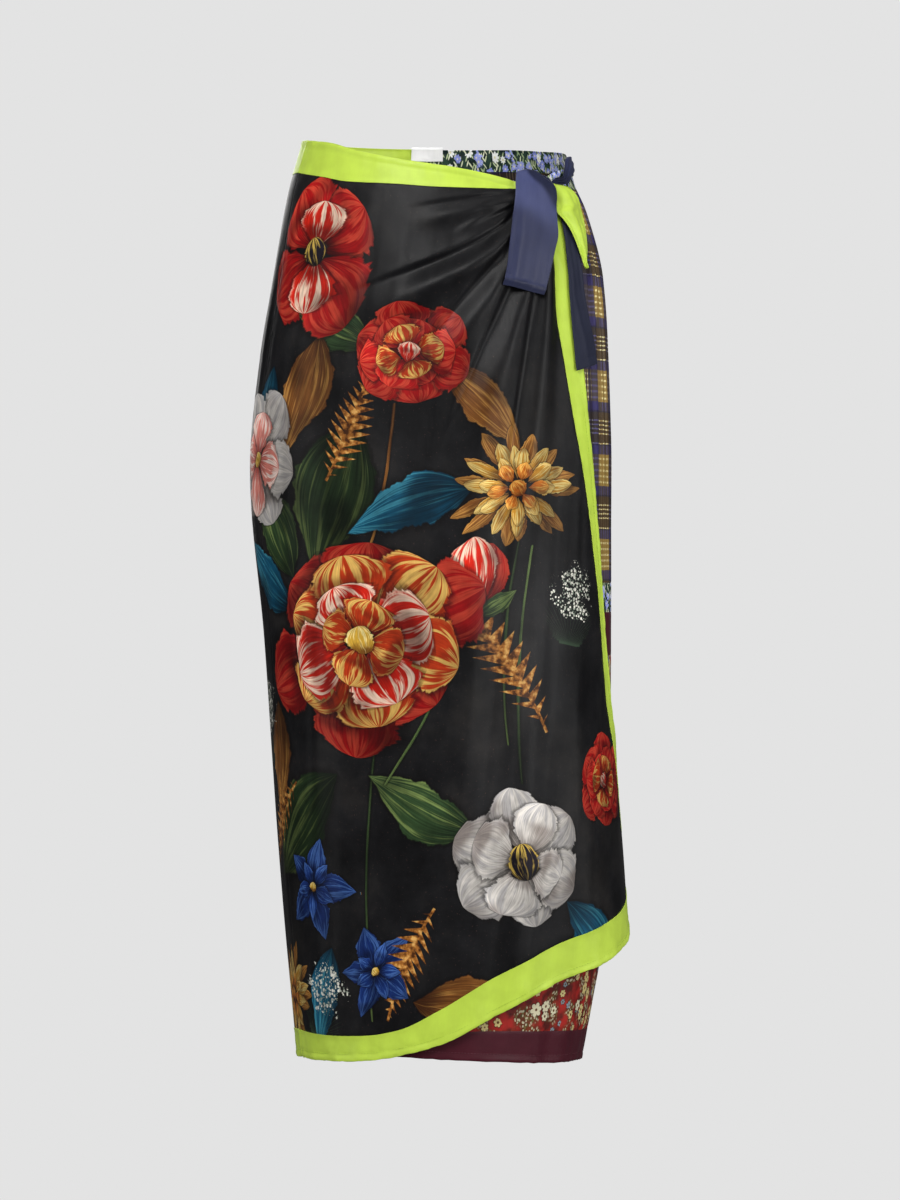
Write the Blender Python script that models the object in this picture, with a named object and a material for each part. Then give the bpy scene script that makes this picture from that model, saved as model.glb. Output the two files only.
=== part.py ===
"""A worn wrap skirt of printed silk: one outer panel wrapped over a patchwork inner panel.

Frame: metres, +Z up, -Y is the front, +X is the viewer's right. The origin is on the waist
line, in the middle of the hollow. A place on the cloth is given by its turn (degrees round
the body, 0 at the front centre, 90 at the right, 180 at the back) and its drop (metres down
from the waist line). An offset is a distance outward from the inner panel's outer face.
"""

from collections import namedtuple
from math import cos, pi, radians, sin

import bpy
import numpy as np

# Driving dimensions, in metres and degrees
CLOTH_WALL = 0.0012
TIE_WALL = 0.0014
FLAP_WALL = 0.0013
LABEL_WALL = 0.0010
SEAM_GAP = 0.00034
LAY_GAP = 0.0004
NORMAL_STEP = 0.003
PANEL_COLUMNS = 38
FOLDED_ROWS = 20
PLAIN_ROWS = 12
FOLDED_SHARE = 0.38
BACK_SEAM_TURN = 190.0
LEFT_SEAM_TURN = -70.0
RIGHT_SEAM_TURN = 115.0
UNDERLAP_EDGE_TURN = -30.0
OVERLAP_LIFT = 0.005
OVERLAP_LIFT_START = -85.0
OVERLAP_LIFT_END = -40.0
LIME_WAIST_HEIGHT = 0.035
LIME_HEM_HEIGHT = 0.027
DITSY_WAIST_HEIGHT = 0.021
DITSY_MID_TOP = 0.444
BURGUNDY_MID_TOP = 0.473
RED_FLORAL_TOP = 0.516
BURGUNDY_HEM_TOP = 0.885

# The body's horizontal sections: half widths to the viewer's left and right, half depths
Section = namedtuple("Section", "drop left right front back")
SECTIONS = (
    Section(0.000, 0.132, 0.131, 0.098, 0.098),
    Section(0.060, 0.148, 0.146, 0.108, 0.112),
    Section(0.140, 0.162, 0.166, 0.116, 0.128),
    Section(0.220, 0.175, 0.171, 0.120, 0.136),
    Section(0.330, 0.185, 0.175, 0.121, 0.132),
    Section(0.500, 0.171, 0.176, 0.119, 0.122),
    Section(0.660, 0.159, 0.174, 0.117, 0.116),
    Section(0.800, 0.148, 0.168, 0.114, 0.112),
    Section(0.860, 0.143, 0.158, 0.112, 0.110),
    Section(0.922, 0.138, 0.146, 0.110, 0.108),
)

# How far the overlap stands off the body: at the front, and where it flares at the right side
Stand = namedtuple("Stand", "drop front side")
STANDS = (
    Stand(0.000, 0.0050, 0.0050),
    Stand(0.450, 0.0050, 0.0046),
    Stand(0.560, 0.0055, 0.0030),
    Stand(0.621, 0.0060, 0.0068),
    Stand(0.661, 0.0063, 0.0102),
    Stand(0.701, 0.0067, 0.0150),
    Stand(0.741, 0.0070, 0.0195),
    Stand(0.800, 0.0078, 0.0262),
    Stand(0.922, 0.0090, 0.0300),
)

# Creases that run out of the knot: a dip along the line and a ridge below it
Crease = namedtuple(
    "Crease", "turn_a drop_a turn_b drop_b turn_c drop_c dip rise width_a width_c"
)
CREASES = (
    Crease(31.5, 0.066, 14.0, 0.080, -6.0, 0.090, 0.0014, 0.0036, 0.008, 0.015),
    Crease(31.5, 0.078, 8.9, 0.119, -30.0, 0.156, 0.0022, 0.0072, 0.010, 0.022),
    Crease(31.0, 0.094, 16.0, 0.142, -3.0, 0.212, 0.0020, 0.0058, 0.010, 0.020),
    Crease(32.5, 0.108, 18.8, 0.182, 4.0, 0.280, 0.0022, 0.0064, 0.011, 0.021),
    Crease(36.5, 0.106, 29.8, 0.215, 17.5, 0.430, 0.0024, 0.0070, 0.010, 0.021),
)

# Soft standing folds: a ridge from one drop to another, leaning by so many degrees
Ridge = namedtuple("Ridge", "turn drop_top drop_low rise width lean")
OVERLAP_RIDGES = (
    Ridge(14.0, 0.40, 0.80, 0.0034, 0.020, -6.0),
    Ridge(29.0, 0.44, 0.86, 0.0044, 0.022, 3.0),
    Ridge(46.0, 0.46, 0.84, 0.0040, 0.020, 8.0),
    Ridge(-8.0, 0.30, 0.70, 0.0026, 0.026, -4.0),
    Ridge(-34.0, 0.34, 0.92, 0.0028, 0.028, 2.0),
)
BACK_RIDGES = (
    Ridge(208.0, 0.06, 0.50, 0.0036, 0.022, 5.0),
    Ridge(232.0, 0.20, 0.80, 0.0042, 0.030, 4.0),
    Ridge(196.0, 0.42, 0.90, 0.0034, 0.026, -2.0),
    Ridge(173.0, 0.05, 0.46, 0.0036, 0.022, -4.0),
    Ridge(150.0, 0.10, 0.60, 0.0040, 0.026, -6.0),
    Ridge(128.0, 0.34, 0.88, 0.0032, 0.028, -2.0),
)

# Narrow upright gathers of the plaid beside the tie
GATHER_COUNT = 8
GATHER_FIRST_TURN = 62.0
GATHER_PITCH = 5.6
GATHER_RISE = 0.0015
GATHER_TOP = 0.045
GATHER_LOW = 0.360

# Outlines, as turn and drop
Mark = namedtuple("Mark", "turn drop")
KNOT_TURN = 40.6
KNOT_DROP = 0.060
KNOT_OFFSET = 0.0122
KNOT_HALF_TURN = 7.4
KNOT_HALF_HEIGHT = 0.0130
KNOT_HALF_DEPTH = 0.0062
KNOT_TILT = 0.0030
GATHER_LIFT = 0.0055
GATHER_LIFT_REACH = 0.014

OVERLAP_TOP_EDGE = (
    Mark(-70.0, 0.0055),
    Mark(-47.9, 0.0120),
    Mark(-31.0, 0.0225),
    Mark(-12.7, 0.0320),
    Mark(9.9, 0.0410),
    Mark(25.8, 0.0490),
    Mark(32.9, 0.0545),
)
LIME_WAIST_SEAM = (
    Mark(-70.0, 0.0375),
    Mark(-47.2, 0.0460),
    Mark(-34.5, 0.0520),
    Mark(-14.5, 0.0560),
    Mark(3.5, 0.0595),
    Mark(22.0, 0.0602),
    Mark(32.9, 0.0600),
)
UNDER_KNOT_EDGE = (
    Mark(32.9, 0.0600),
    Mark(33.0, 0.0690),
    Mark(34.5, 0.0742),
    Mark(38.5, 0.0755),
    Mark(46.2, 0.0785),
)
EDGE_INNER = (
    Mark(46.2, 0.0785),
    Mark(42.8, 0.1250),
    Mark(42.8, 0.1700),
    Mark(45.6, 0.2200),
    Mark(50.0, 0.2850),
    Mark(54.6, 0.3400),
    Mark(60.6, 0.4150),
    Mark(66.3, 0.4910),
    Mark(73.0, 0.5600),
    Mark(81.5, 0.6200),
    Mark(92.0, 0.6800),
    Mark(103.0, 0.7355),
)
EDGE_OUTER = (
    Mark(53.2, 0.0785),
    Mark(51.8, 0.1250),
    Mark(52.4, 0.1700),
    Mark(55.2, 0.2200),
    Mark(58.2, 0.2850),
    Mark(61.2, 0.3400),
    Mark(65.6, 0.4150),
    Mark(70.4, 0.4910),
    Mark(77.6, 0.5520),
    Mark(88.0, 0.6120),
    Mark(101.0, 0.6800),
    Mark(115.0, 0.7520),
)
HEM_SEAM = (
    Mark(-70.0, 0.8860),
    Mark(-46.0, 0.8870),
    Mark(-26.9, 0.8850),
    Mark(-14.0, 0.8790),
    Mark(0.5, 0.8610),
    Mark(20.6, 0.8270),
    Mark(42.8, 0.7980),
    Mark(64.0, 0.7810),
    Mark(84.0, 0.7610),
    Mark(103.0, 0.7355),
)
OVERLAP_HEM = (
    Mark(-70.0, 0.9130),
    Mark(-46.9, 0.9120),
    Mark(-25.0, 0.9085),
    Mark(-10.9, 0.9020),
    Mark(4.0, 0.8905),
    Mark(21.5, 0.8650),
    Mark(44.6, 0.8350),
    Mark(66.9, 0.8170),
    Mark(90.0, 0.7920),
    Mark(115.0, 0.7520),
)
INNER_WAIST_EDGE = (
    Mark(-30.0, 0.034),
    Mark(-15.0, 0.042),
    Mark(0.0, 0.047),
    Mark(15.0, 0.054),
    Mark(30.0, 0.060),
    Mark(38.0, 0.058),
    Mark(48.0, 0.048),
    Mark(58.0, 0.039),
    Mark(70.0, 0.034),
    Mark(84.0, 0.030),
    Mark(92.0, 0.024),
    Mark(101.0, 0.013),
    Mark(115.0, 0.009),
    Mark(150.0, 0.002),
    Mark(190.0, 0.000),
)
INNER_HEM = (
    Mark(-30.0, 0.903),
    Mark(17.3, 0.910),
    Mark(56.9, 0.916),
    Mark(90.0, 0.918),
    Mark(190.0, 0.920),
)
BACK_LEFT_HEM = (
    Mark(-170.0, 0.920),
    Mark(-120.0, 0.918),
    Mark(-70.0, 0.913),
)
BACK_LEFT_WAIST = (
    Mark(-170.0, 0.000),
    Mark(-110.0, 0.001),
    Mark(-70.0, 0.0055),
)
BACK_LEFT_WAIST_SEAM = (
    Mark(-170.0, 0.035),
    Mark(-110.0, 0.0355),
    Mark(-70.0, 0.0375),
)
BACK_LEFT_HEM_SEAM = (
    Mark(-170.0, 0.893),
    Mark(-120.0, 0.891),
    Mark(-70.0, 0.886),
)

# The hanging ties and the flap: each row is one line across, left end to right end
Across = namedtuple("Across", "turn_l drop_l offset_l turn_r drop_r offset_r")
FRONT_TAIL_ARCH = (-60.0, -40.0, -20.0, 0.0, 20.0, 40.0, 60.0, 80.0)
FRONT_TAIL_ROWS = (
    Across(29.4, 0.0630, 0.0205, 46.9, 0.0665, 0.0205),
    Across(28.2, 0.0760, 0.0201, 45.6, 0.0760, 0.0203),
    Across(27.0, 0.0880, 0.0194, 44.6, 0.0880, 0.0200),
    Across(25.6, 0.1050, 0.0184, 43.6, 0.1050, 0.0196),
    Across(24.3, 0.1220, 0.0178, 41.2, 0.1210, 0.0190),
    Across(23.2, 0.1400, 0.0170, 38.6, 0.1420, 0.0182),
    Across(21.9, 0.1550, 0.0164, 36.2, 0.1640, 0.0172),
)
FLAP_ROWS = (
    Across(48.35, 0.0530, 0.0128, 55.5, 0.0545, 0.0124),
    Across(48.35, 0.0590, 0.0130, 60.8, 0.0600, 0.0112),
    Across(48.35, 0.0670, 0.0132, 62.6, 0.0690, 0.0108),
    Across(48.20, 0.0800, 0.0132, 62.5, 0.0820, 0.0108),
    Across(50.30, 0.0980, 0.0126, 61.4, 0.0990, 0.0108),
    Across(53.20, 0.1180, 0.0118, 59.4, 0.1180, 0.0106),
    Across(55.60, 0.1330, 0.0110, 57.2, 0.1340, 0.0104),
)
SIDE_TAIL_ROWS = (
    Across(48.4, 0.0680, 0.0098, 48.4, 0.0590, 0.0098),
    Across(49.6, 0.0760, 0.0090, 51.8, 0.0610, 0.0094),
    Across(50.6, 0.0880, 0.0078, 55.0, 0.0700, 0.0086),
    Across(50.2, 0.1050, 0.0070, 56.4, 0.0950, 0.0074),
    Across(49.3, 0.1280, 0.0068, 56.8, 0.1210, 0.0070),
    Across(49.1, 0.1550, 0.0068, 57.2, 0.1520, 0.0070),
    Across(49.6, 0.1850, 0.0068, 59.4, 0.1840, 0.0070),
    Across(50.6, 0.2120, 0.0068, 62.2, 0.2100, 0.0070),
    Across(51.2, 0.2360, 0.0068, 63.5, 0.2280, 0.0070),
)
STRAP_ROWS = (
    Across(48.4, 0.0562, 0.0100, 48.4, 0.0516, 0.0100),
    Across(50.5, 0.0545, 0.0094, 50.5, 0.0490, 0.0094),
    Across(54.0, 0.0520, 0.0080, 54.0, 0.0462, 0.0080),
    Across(60.0, 0.0505, 0.0052, 60.0, 0.0440, 0.0052),
    Across(66.0, 0.0480, 0.0028, 66.0, 0.0330, 0.0036),
    Across(72.0, 0.0430, 0.0019, 72.0, 0.0200, 0.0032),
    Across(78.0, 0.0400, 0.0019, 78.0, 0.0158, 0.0030),
    Across(85.0, 0.0385, 0.0019, 85.0, 0.0150, 0.0028),
    Across(93.0, 0.0380, 0.0019, 93.0, 0.0130, 0.0024),
    Across(104.0, 0.0375, 0.0019, 104.0, 0.0115, 0.0019),
    Across(114.0, 0.0370, 0.0019, 114.0, 0.0120, 0.0019),
)
STRAP_PUFF = 0.0030

# The knot's bundle, from its left end to its right end: its size as a share of the middle's
Bundle = namedtuple("Bundle", "along share")
KNOT_BUNDLE = (
    Bundle(-1.00, 0.62),
    Bundle(-0.86, 0.86),
    Bundle(-0.55, 1.00),
    Bundle(-0.15, 0.93),
    Bundle(0.25, 1.00),
    Bundle(0.60, 0.98),
    Bundle(0.86, 0.86),
    Bundle(1.00, 0.66),
)
KNOT_SIDES = 16

# The label inside the centre back
LABEL_TURNS = (176.8, 190.6)
LABEL_DROPS = (-0.0020, 0.0115)

COLOURS = {
    "black_print": (0.020, 0.021, 0.024),
    "lime": (0.55, 0.73, 0.12),
    "ditsy": (0.18, 0.23, 0.28),
    "plaid": (0.09, 0.075, 0.055),
    "burgundy": (0.063, 0.015, 0.022),
    "red_floral": (0.20, 0.07, 0.035),
    "navy": (0.055, 0.065, 0.130),
    "white": (0.80, 0.80, 0.78),
}


def smooth(value, low, high):
    """0 below low, 1 above high, and an even curve between."""
    share = np.clip((np.asarray(value, float) - low) / (high - low), 0.0, 1.0)
    return share * share * (3.0 - 2.0 * share)


def curve(value, places, heights):
    """A smooth curve through the heights at the places, with no overshoot, flat outside them."""
    value = np.clip(np.asarray(value, float), places[0], places[-1])
    places = np.asarray(places, float)
    heights = np.asarray(heights, float)
    steps = np.diff(heights) / np.diff(places)
    same = steps[:-1] * steps[1:] > 0.0
    total = np.where(same, steps[:-1] + steps[1:], 1.0)
    inner = np.where(same, 2.0 * steps[:-1] * steps[1:] / total, 0.0)
    slopes = np.concatenate([[steps[0]], inner, [steps[-1]]])
    index = np.clip(np.searchsorted(places, value) - 1, 0, len(places) - 2)
    width = places[index + 1] - places[index]
    t = (value - places[index]) / width
    rise = (2 * t**3 - 3 * t**2 + 1) * heights[index]
    rise += (t**3 - 2 * t**2 + t) * width * slopes[index]
    rise += (-2 * t**3 + 3 * t**2) * heights[index + 1]
    rise += (t**3 - t**2) * width * slopes[index + 1]
    return rise


def column(rows, name):
    return [getattr(row, name) for row in rows]


def place(turn, drop, offset):
    """Points in the frame for places on the cloth."""
    turn, drop, offset = np.broadcast_arrays(
        np.asarray(turn, float), np.asarray(drop, float), np.asarray(offset, float)
    )
    drops = column(SECTIONS, "drop")
    s = np.sin(np.radians(turn))
    c = np.cos(np.radians(turn))
    left = curve(drop, drops, column(SECTIONS, "left"))
    right = curve(drop, drops, column(SECTIONS, "right"))
    front = curve(drop, drops, column(SECTIONS, "front"))
    back = curve(drop, drops, column(SECTIONS, "back"))
    half_width = np.where(s < 0, left, right)
    half_depth = np.where(c > 0, front, back)
    length = np.hypot(half_depth * s, half_width * c)
    x = half_width * s + offset * half_depth * s / length
    y = -half_depth * c - offset * half_width * c / length
    return np.stack([x, y, -drop], axis=-1)


def crease_height(crease, turn, drop):
    """The height of one crease: a dip on its line, and a ridge on the side below it."""
    metres = radians(1.0) * 0.150
    t = np.linspace(0.0, 1.0, 25)
    turn_mid = 2 * crease.turn_b - (crease.turn_a + crease.turn_c) / 2.0
    drop_mid = 2 * crease.drop_b - (crease.drop_a + crease.drop_c) / 2.0
    px = (1 - t) ** 2 * crease.turn_a + 2 * t * (1 - t) * turn_mid + t**2 * crease.turn_c
    py = (1 - t) ** 2 * crease.drop_a + 2 * t * (1 - t) * drop_mid + t**2 * crease.drop_c
    px = px * metres
    x = np.asarray(turn, float)[..., None] * metres
    y = np.asarray(drop, float)[..., None]
    ax, ay = px[:-1], py[:-1]
    bx, by = px[1:] - ax, py[1:] - ay
    share = np.clip(((x - ax) * bx + (y - ay) * by) / (bx**2 + by**2), 0.0, 1.0)
    dx = x - ax - share * bx
    dy = y - ay - share * by
    away = np.hypot(dx, dy)
    nearest = np.argmin(away, axis=-1)[..., None]
    along = (np.take_along_axis(share, nearest, -1)[..., 0] + nearest[..., 0]) / 24.0
    side = np.take_along_axis(bx * dy - by * dx, nearest, -1)[..., 0]
    # A line that runs to the left has its lower side on the negative hand
    distance = np.take_along_axis(away, nearest, -1)[..., 0] * np.where(side < 0, 1.0, -1.0)
    width = crease.width_a + (crease.width_c - crease.width_a) * along
    fade = smooth(along, -0.10, 0.12) * (1.0 - smooth(along, 0.45, 1.0))
    dip = crease.dip * np.exp(-((distance / (0.55 * width)) ** 2))
    rise = crease.rise * np.exp(-(((distance - 1.15 * width) / (0.75 * width)) ** 2))
    return fade * (rise - dip)


def ridge_height(ridge, turn, drop, radius):
    """The height of one soft standing fold."""
    middle = ridge.turn + ridge.lean * (drop - ridge.drop_top) / (ridge.drop_low - ridge.drop_top)
    away = (turn - middle) * radians(1.0) * radius
    reach = (ridge.drop_low - ridge.drop_top) * 0.35
    fade = smooth(drop, ridge.drop_top - 0.02, ridge.drop_top + reach)
    if ridge.drop_low < 0.85:
        fade = fade * (1.0 - smooth(drop, ridge.drop_low - reach, ridge.drop_low + 0.02))
    return ridge.rise * fade * np.exp(-((away / ridge.width) ** 2))


def back_height(turn, drop):
    """The soft folds of the back, for turns that run round it either way."""
    turn = np.where(turn < -90.0, turn + 360.0, turn)
    return sum(ridge_height(ridge, turn, drop, 0.150) for ridge in BACK_RIDGES)


def knot_lift(turn, drop):
    """The cloth rises where it is drawn into the knot."""
    metres = radians(1.0) * 0.145
    left = (turn - (KNOT_TURN - KNOT_HALF_TURN)) * metres
    right = (turn - (KNOT_TURN + KNOT_HALF_TURN)) * metres
    across = np.minimum(left, 0.0) + np.maximum(right, 0.0)
    down = drop - KNOT_DROP
    return GATHER_LIFT * np.exp(-(across**2 + down**2) / GATHER_LIFT_REACH**2)


def overlap_stand(turn, drop):
    """The overlap's plain offset, before its folds."""
    drops = column(STANDS, "drop")
    front = curve(drop, drops, column(STANDS, "front"))
    side = curve(drop, drops, column(STANDS, "side"))
    flared = front + (side - front) * smooth(turn, 38.0, 86.0)
    return flared * smooth(turn, OVERLAP_LIFT_START, OVERLAP_LIFT_END)


def outer_offset(turn, drop):
    """The printed outer layer, from the centre back round the left side to the front edge."""
    turn = np.asarray(turn, float)
    drop = np.asarray(drop, float)
    offset = overlap_stand(turn, drop)
    offset = offset + back_height(turn, drop) * (turn < -90.0)
    front = turn > -90.0
    for crease in CREASES:
        offset = offset + crease_height(crease, turn, drop) * front
    for ridge in OVERLAP_RIDGES:
        offset = offset + ridge_height(ridge, turn, drop, 0.150) * front
    return offset + knot_lift(turn, drop) * front


def inner_offset(turn, drop):
    """The patchwork layer, from the centre back round the right side and under the overlap."""
    turn = np.asarray(turn, float)
    drop = np.asarray(drop, float)
    phase = (turn - GATHER_FIRST_TURN) / GATHER_PITCH
    inside = smooth(phase, -0.5, 0.5) * (1.0 - smooth(phase, GATHER_COUNT - 0.5, GATHER_COUNT + 0.5))
    fade = smooth(drop, GATHER_TOP, GATHER_TOP + 0.03) * (1.0 - smooth(drop, 0.16, GATHER_LOW))
    offset = GATHER_RISE * inside * fade * np.cos(2.0 * pi * phase)
    return offset + back_height(turn, drop) * (turn > 90.0)


def wall_from(name, points, normals, wall, colour):
    """A closed wall on a grid of outer points, as thick as the wall along the normals."""
    rows, cols = points.shape[:2]
    outer = points.reshape(-1, 3)
    inner = (points - normals * wall).reshape(-1, 3)
    count = rows * cols
    index = np.arange(count).reshape(rows, cols)
    a, b = index[:-1, :-1].ravel(), index[:-1, 1:].ravel()
    c, d = index[1:, 1:].ravel(), index[1:, :-1].ravel()
    # The cut from upper right to lower left follows the folds
    halves = np.concatenate([np.stack([a, d, b], -1), np.stack([b, d, c], -1)])
    faces = [tuple(f) for f in halves.tolist()]
    faces += [tuple(f) for f in (halves[:, ::-1] + count).tolist()]
    ring = np.concatenate([index[0, :-1], index[:-1, -1], index[-1, :0:-1], index[:0:-1, 0]])
    for near, far in zip(ring, np.roll(ring, -1)):
        faces.append((int(near), int(far), int(far) + count, int(near) + count))
    mesh = bpy.data.meshes.new(name)
    mesh.from_pydata(np.concatenate([outer, inner]).tolist(), [], faces)
    return add_node(name, mesh, colour)


def add_node(name, mesh, colour):
    mesh.validate()
    material = bpy.data.materials.new(name + "_material")
    material.use_nodes = True
    shader = material.node_tree.nodes["Principled BSDF"]
    shader.inputs["Base Color"].default_value = (*COLOURS[colour], 1.0)
    shader.inputs["Roughness"].default_value = 0.55
    mesh.materials.append(material)
    node = bpy.data.objects.new(name, mesh)
    bpy.context.scene.collection.objects.link(node)
    return node


def normals_of(turn, drop, offset_at):
    """Outward normals of the layer, from points a small step to each side."""
    step_turn = NORMAL_STEP / (radians(1.0) * 0.150)
    after = place(turn + step_turn, drop, offset_at(turn + step_turn, drop))
    before = place(turn - step_turn, drop, offset_at(turn - step_turn, drop))
    below = place(turn, drop + NORMAL_STEP, offset_at(turn, drop + NORMAL_STEP))
    above = place(turn, drop - NORMAL_STEP, offset_at(turn, drop - NORMAL_STEP))
    normal = np.cross(below - above, after - before)
    return normal / np.linalg.norm(normal, axis=-1, keepdims=True)


def edge(marks, shares):
    """Points along an outline at shares of its length."""
    turns = np.array(column(marks, "turn"))
    drops = np.array(column(marks, "drop"))
    length = np.hypot(np.diff(turns) * radians(1.0) * 0.150, np.diff(drops))
    along = np.concatenate([[0.0], np.cumsum(length)]) / length.sum()
    return np.stack([curve(shares, along, turns), curve(shares, along, drops)], axis=-1)


def between(marks, low, high):
    """The part of an outline between two turns, low to high."""
    turns = column(marks, "turn")
    drops = column(marks, "drop")
    inside = [m for m in marks if low + 0.5 < m.turn < high - 0.5]
    ends = [Mark(t, float(curve(t, turns, drops))) for t in (low, high)]
    return (ends[0], *inside, ends[1])


def shifted(marks, down):
    return tuple(Mark(m.turn, m.drop + down) for m in marks)


def level(low, high, drop):
    return (Mark(low, drop), Mark((low + high) / 2.0, drop), Mark(high, drop))


def straight(first, last):
    return (first, Mark((first.turn + last.turn) / 2.0, (first.drop + last.drop) / 2.0), last)


def blend(top, bottom, left, right, across, down):
    """Places spread over a patch between its four outlines."""
    u = across[None, :, None]
    v = down[:, None, None]
    t = edge(top, across)[None]
    b = edge(bottom, across)[None]
    left_side = edge(left, down)[:, None]
    right_side = edge(right, down)[:, None]
    corners = (1 - u) * (1 - v) * t[:, :1] + u * (1 - v) * t[:, -1:]
    corners = corners + (1 - u) * v * b[:, :1] + u * v * b[:, -1:]
    return (1 - v) * t + v * b + (1 - u) * left_side + u * right_side - corners


def inset(grid, offset_at):
    """Draws the patch's rim in by half a seam gap, square to each of its edges."""
    metres = np.array([radians(1.0) * 0.150, 1.0])
    moved = grid.copy()
    half = SEAM_GAP / 2.0
    flat = grid * metres
    for rim, inner_row in (
        ((0, slice(None)), (1, slice(None))),
        ((-1, slice(None)), (-2, slice(None))),
        ((slice(None), 0), (slice(None), 1)),
        ((slice(None), -1), (slice(None), -2)),
    ):
        line = flat[rim]
        along = np.gradient(line, axis=0)
        square = np.stack([-along[:, 1], along[:, 0]], axis=-1)
        square /= np.linalg.norm(square, axis=-1, keepdims=True)
        inward = flat[inner_row] - line
        hand = np.sign(np.sum(square * inward, axis=-1, keepdims=True))
        moved[rim] += square * hand * half / metres
    return moved


def patch(name, top, bottom, left, right, across, down, offset_at, colour):
    """One sewn panel: a closed wall over its patch of the layer."""
    grid = inset(blend(top, bottom, left, right, across, down), offset_at)
    turn, drop = grid[..., 0], grid[..., 1]
    points = place(turn, drop, offset_at(turn, drop))
    return wall_from(name, points, normals_of(turn, drop, offset_at), CLOTH_WALL, colour)


def even(count):
    return np.linspace(0.0, 1.0, count + 1)


def panel_rows():
    """Rows of a long panel: close together where it is folded, wide apart below."""
    folded = even(FOLDED_ROWS) * FOLDED_SHARE
    plain = FOLDED_SHARE + even(PLAIN_ROWS) * (1.0 - FOLDED_SHARE)
    return np.concatenate([folded[:-1], plain])


def length_of(marks):
    turns = np.array(column(marks, "turn")) * radians(1.0) * 0.150
    return float(np.hypot(np.diff(turns), np.diff(column(marks, "drop"))).sum())


def build_outer_front():
    top = LIME_WAIST_SEAM + UNDER_KNOT_EDGE[1:]
    band_share = length_of(LIME_WAIST_SEAM) / length_of(top)
    across = 1.0 - (1.0 - even(PANEL_COLUMNS)) ** 1.22
    # One column ends where the waist band does
    corner = int(np.argmin(np.abs(across - band_share)))
    across[corner] = band_share
    band_across = across[: corner + 1] / band_share
    down = panel_rows()
    side = straight(LIME_WAIST_SEAM[0], HEM_SEAM[0])
    patch("front_panel", top, HEM_SEAM, side, EDGE_INNER, across, down, outer_offset, "black_print")
    patch(
        "waist_band_front",
        OVERLAP_TOP_EDGE,
        LIME_WAIST_SEAM,
        straight(OVERLAP_TOP_EDGE[0], LIME_WAIST_SEAM[0]),
        straight(OVERLAP_TOP_EDGE[-1], LIME_WAIST_SEAM[-1]),
        band_across,
        even(2),
        outer_offset,
        "lime",
    )
    patch(
        "edge_band",
        straight(EDGE_INNER[0], EDGE_OUTER[0]),
        straight(EDGE_INNER[-1], EDGE_OUTER[-1]),
        EDGE_INNER,
        EDGE_OUTER,
        even(2),
        down,
        outer_offset,
        "lime",
    )
    patch(
        "hem_band_front",
        HEM_SEAM,
        OVERLAP_HEM,
        straight(HEM_SEAM[0], OVERLAP_HEM[0]),
        straight(HEM_SEAM[-1], OVERLAP_HEM[-1]),
        across,
        even(2),
        outer_offset,
        "lime",
    )


def build_outer_back():
    ends = (BACK_LEFT_WAIST, BACK_LEFT_WAIST_SEAM, BACK_LEFT_HEM_SEAM, BACK_LEFT_HEM)
    names = ("waist_band_back_left", "back_left_panel", "hem_band_back_left")
    downs = (even(2), panel_rows(), even(2))
    colours = ("lime", "black_print", "lime")
    for name, top, bottom, down, colour in zip(names, ends, ends[1:], downs, colours):
        left = straight(top[0], bottom[0])
        right = straight(top[-1], bottom[-1])
        patch(name, top, bottom, left, right, even(14), down, outer_offset, colour)


def build_patchwork():
    """The inner layer: six bands of cloth, each cut at the right side seam."""
    bands = (
        ("ditsy_waist", 2, "ditsy"),
        ("plaid", 10, "plaid"),
        ("ditsy_mid", 1, "ditsy"),
        ("burgundy_mid", 1, "burgundy"),
        ("red_floral", 7, "red_floral"),
        ("burgundy_hem", 1, "burgundy"),
    )
    gathers = (GATHER_FIRST_TURN - 4.0, RIGHT_SEAM_TURN)
    parts = (
        ("underlap", UNDERLAP_EDGE_TURN, RIGHT_SEAM_TURN),
        ("back_right", RIGHT_SEAM_TURN, BACK_SEAM_TURN),
    )
    for part, low, high in parts:
        waist = between(INNER_WAIST_EDGE, low, high)
        lines = [
            waist,
            shifted(waist, DITSY_WAIST_HEIGHT),
            level(low, high, DITSY_MID_TOP),
            level(low, high, BURGUNDY_MID_TOP),
            level(low, high, RED_FLORAL_TOP),
            level(low, high, BURGUNDY_HEM_TOP),
            between(INNER_HEM, low, high),
        ]
        for (name, rows, colour), top, bottom in zip(bands, lines, lines[1:]):
            across = even(14 if part == "back_right" else 24)
            if part == "underlap" and name in ("ditsy_waist", "plaid"):
                plain = np.linspace(low, gathers[0], 13)[:-1]
                fine = np.linspace(gathers[0], gathers[1], 39)
                across = (np.concatenate([plain, fine]) - low) / (high - low)
            left = straight(top[0], bottom[0])
            right = straight(top[-1], bottom[-1])
            node = part + "_" + name
            patch(node, top, bottom, left, right, across, even(rows), inner_offset, colour)


def rows_to_grid(rows, each, across):
    """A ribbon's grid of turns, drops and offsets, with so many steps from each row to the next."""
    table = np.array([tuple(row) for row in rows])
    shares = np.linspace(0.0, 1.0, len(rows))
    down = np.linspace(0.0, 1.0, each * (len(rows) - 1) + 1)
    table = np.stack([curve(down, shares, table[:, k]) for k in range(6)], axis=-1)
    u = np.linspace(0.0, 1.0, across + 1)[None, :, None]
    return table[:, None, :3] * (1.0 - u) + table[:, None, 3:] * u


def ribbon(name, grid, wall, colour, inward=1.0):
    """A closed wall over a free grid of places, thick toward the side that faces the body."""
    points = place(grid[..., 0], grid[..., 1], grid[..., 2])
    down = np.gradient(points, axis=0)
    along = np.gradient(points, axis=1)
    normal = np.cross(down, along) * inward
    normal = normal / np.linalg.norm(normal, axis=-1, keepdims=True)
    return wall_from(name, points, normal, wall, colour)


def tilt(turn):
    """How much lower the knot's middle line lies at a turn."""
    return KNOT_TILT * (turn - KNOT_TURN) / KNOT_HALF_TURN


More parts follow.
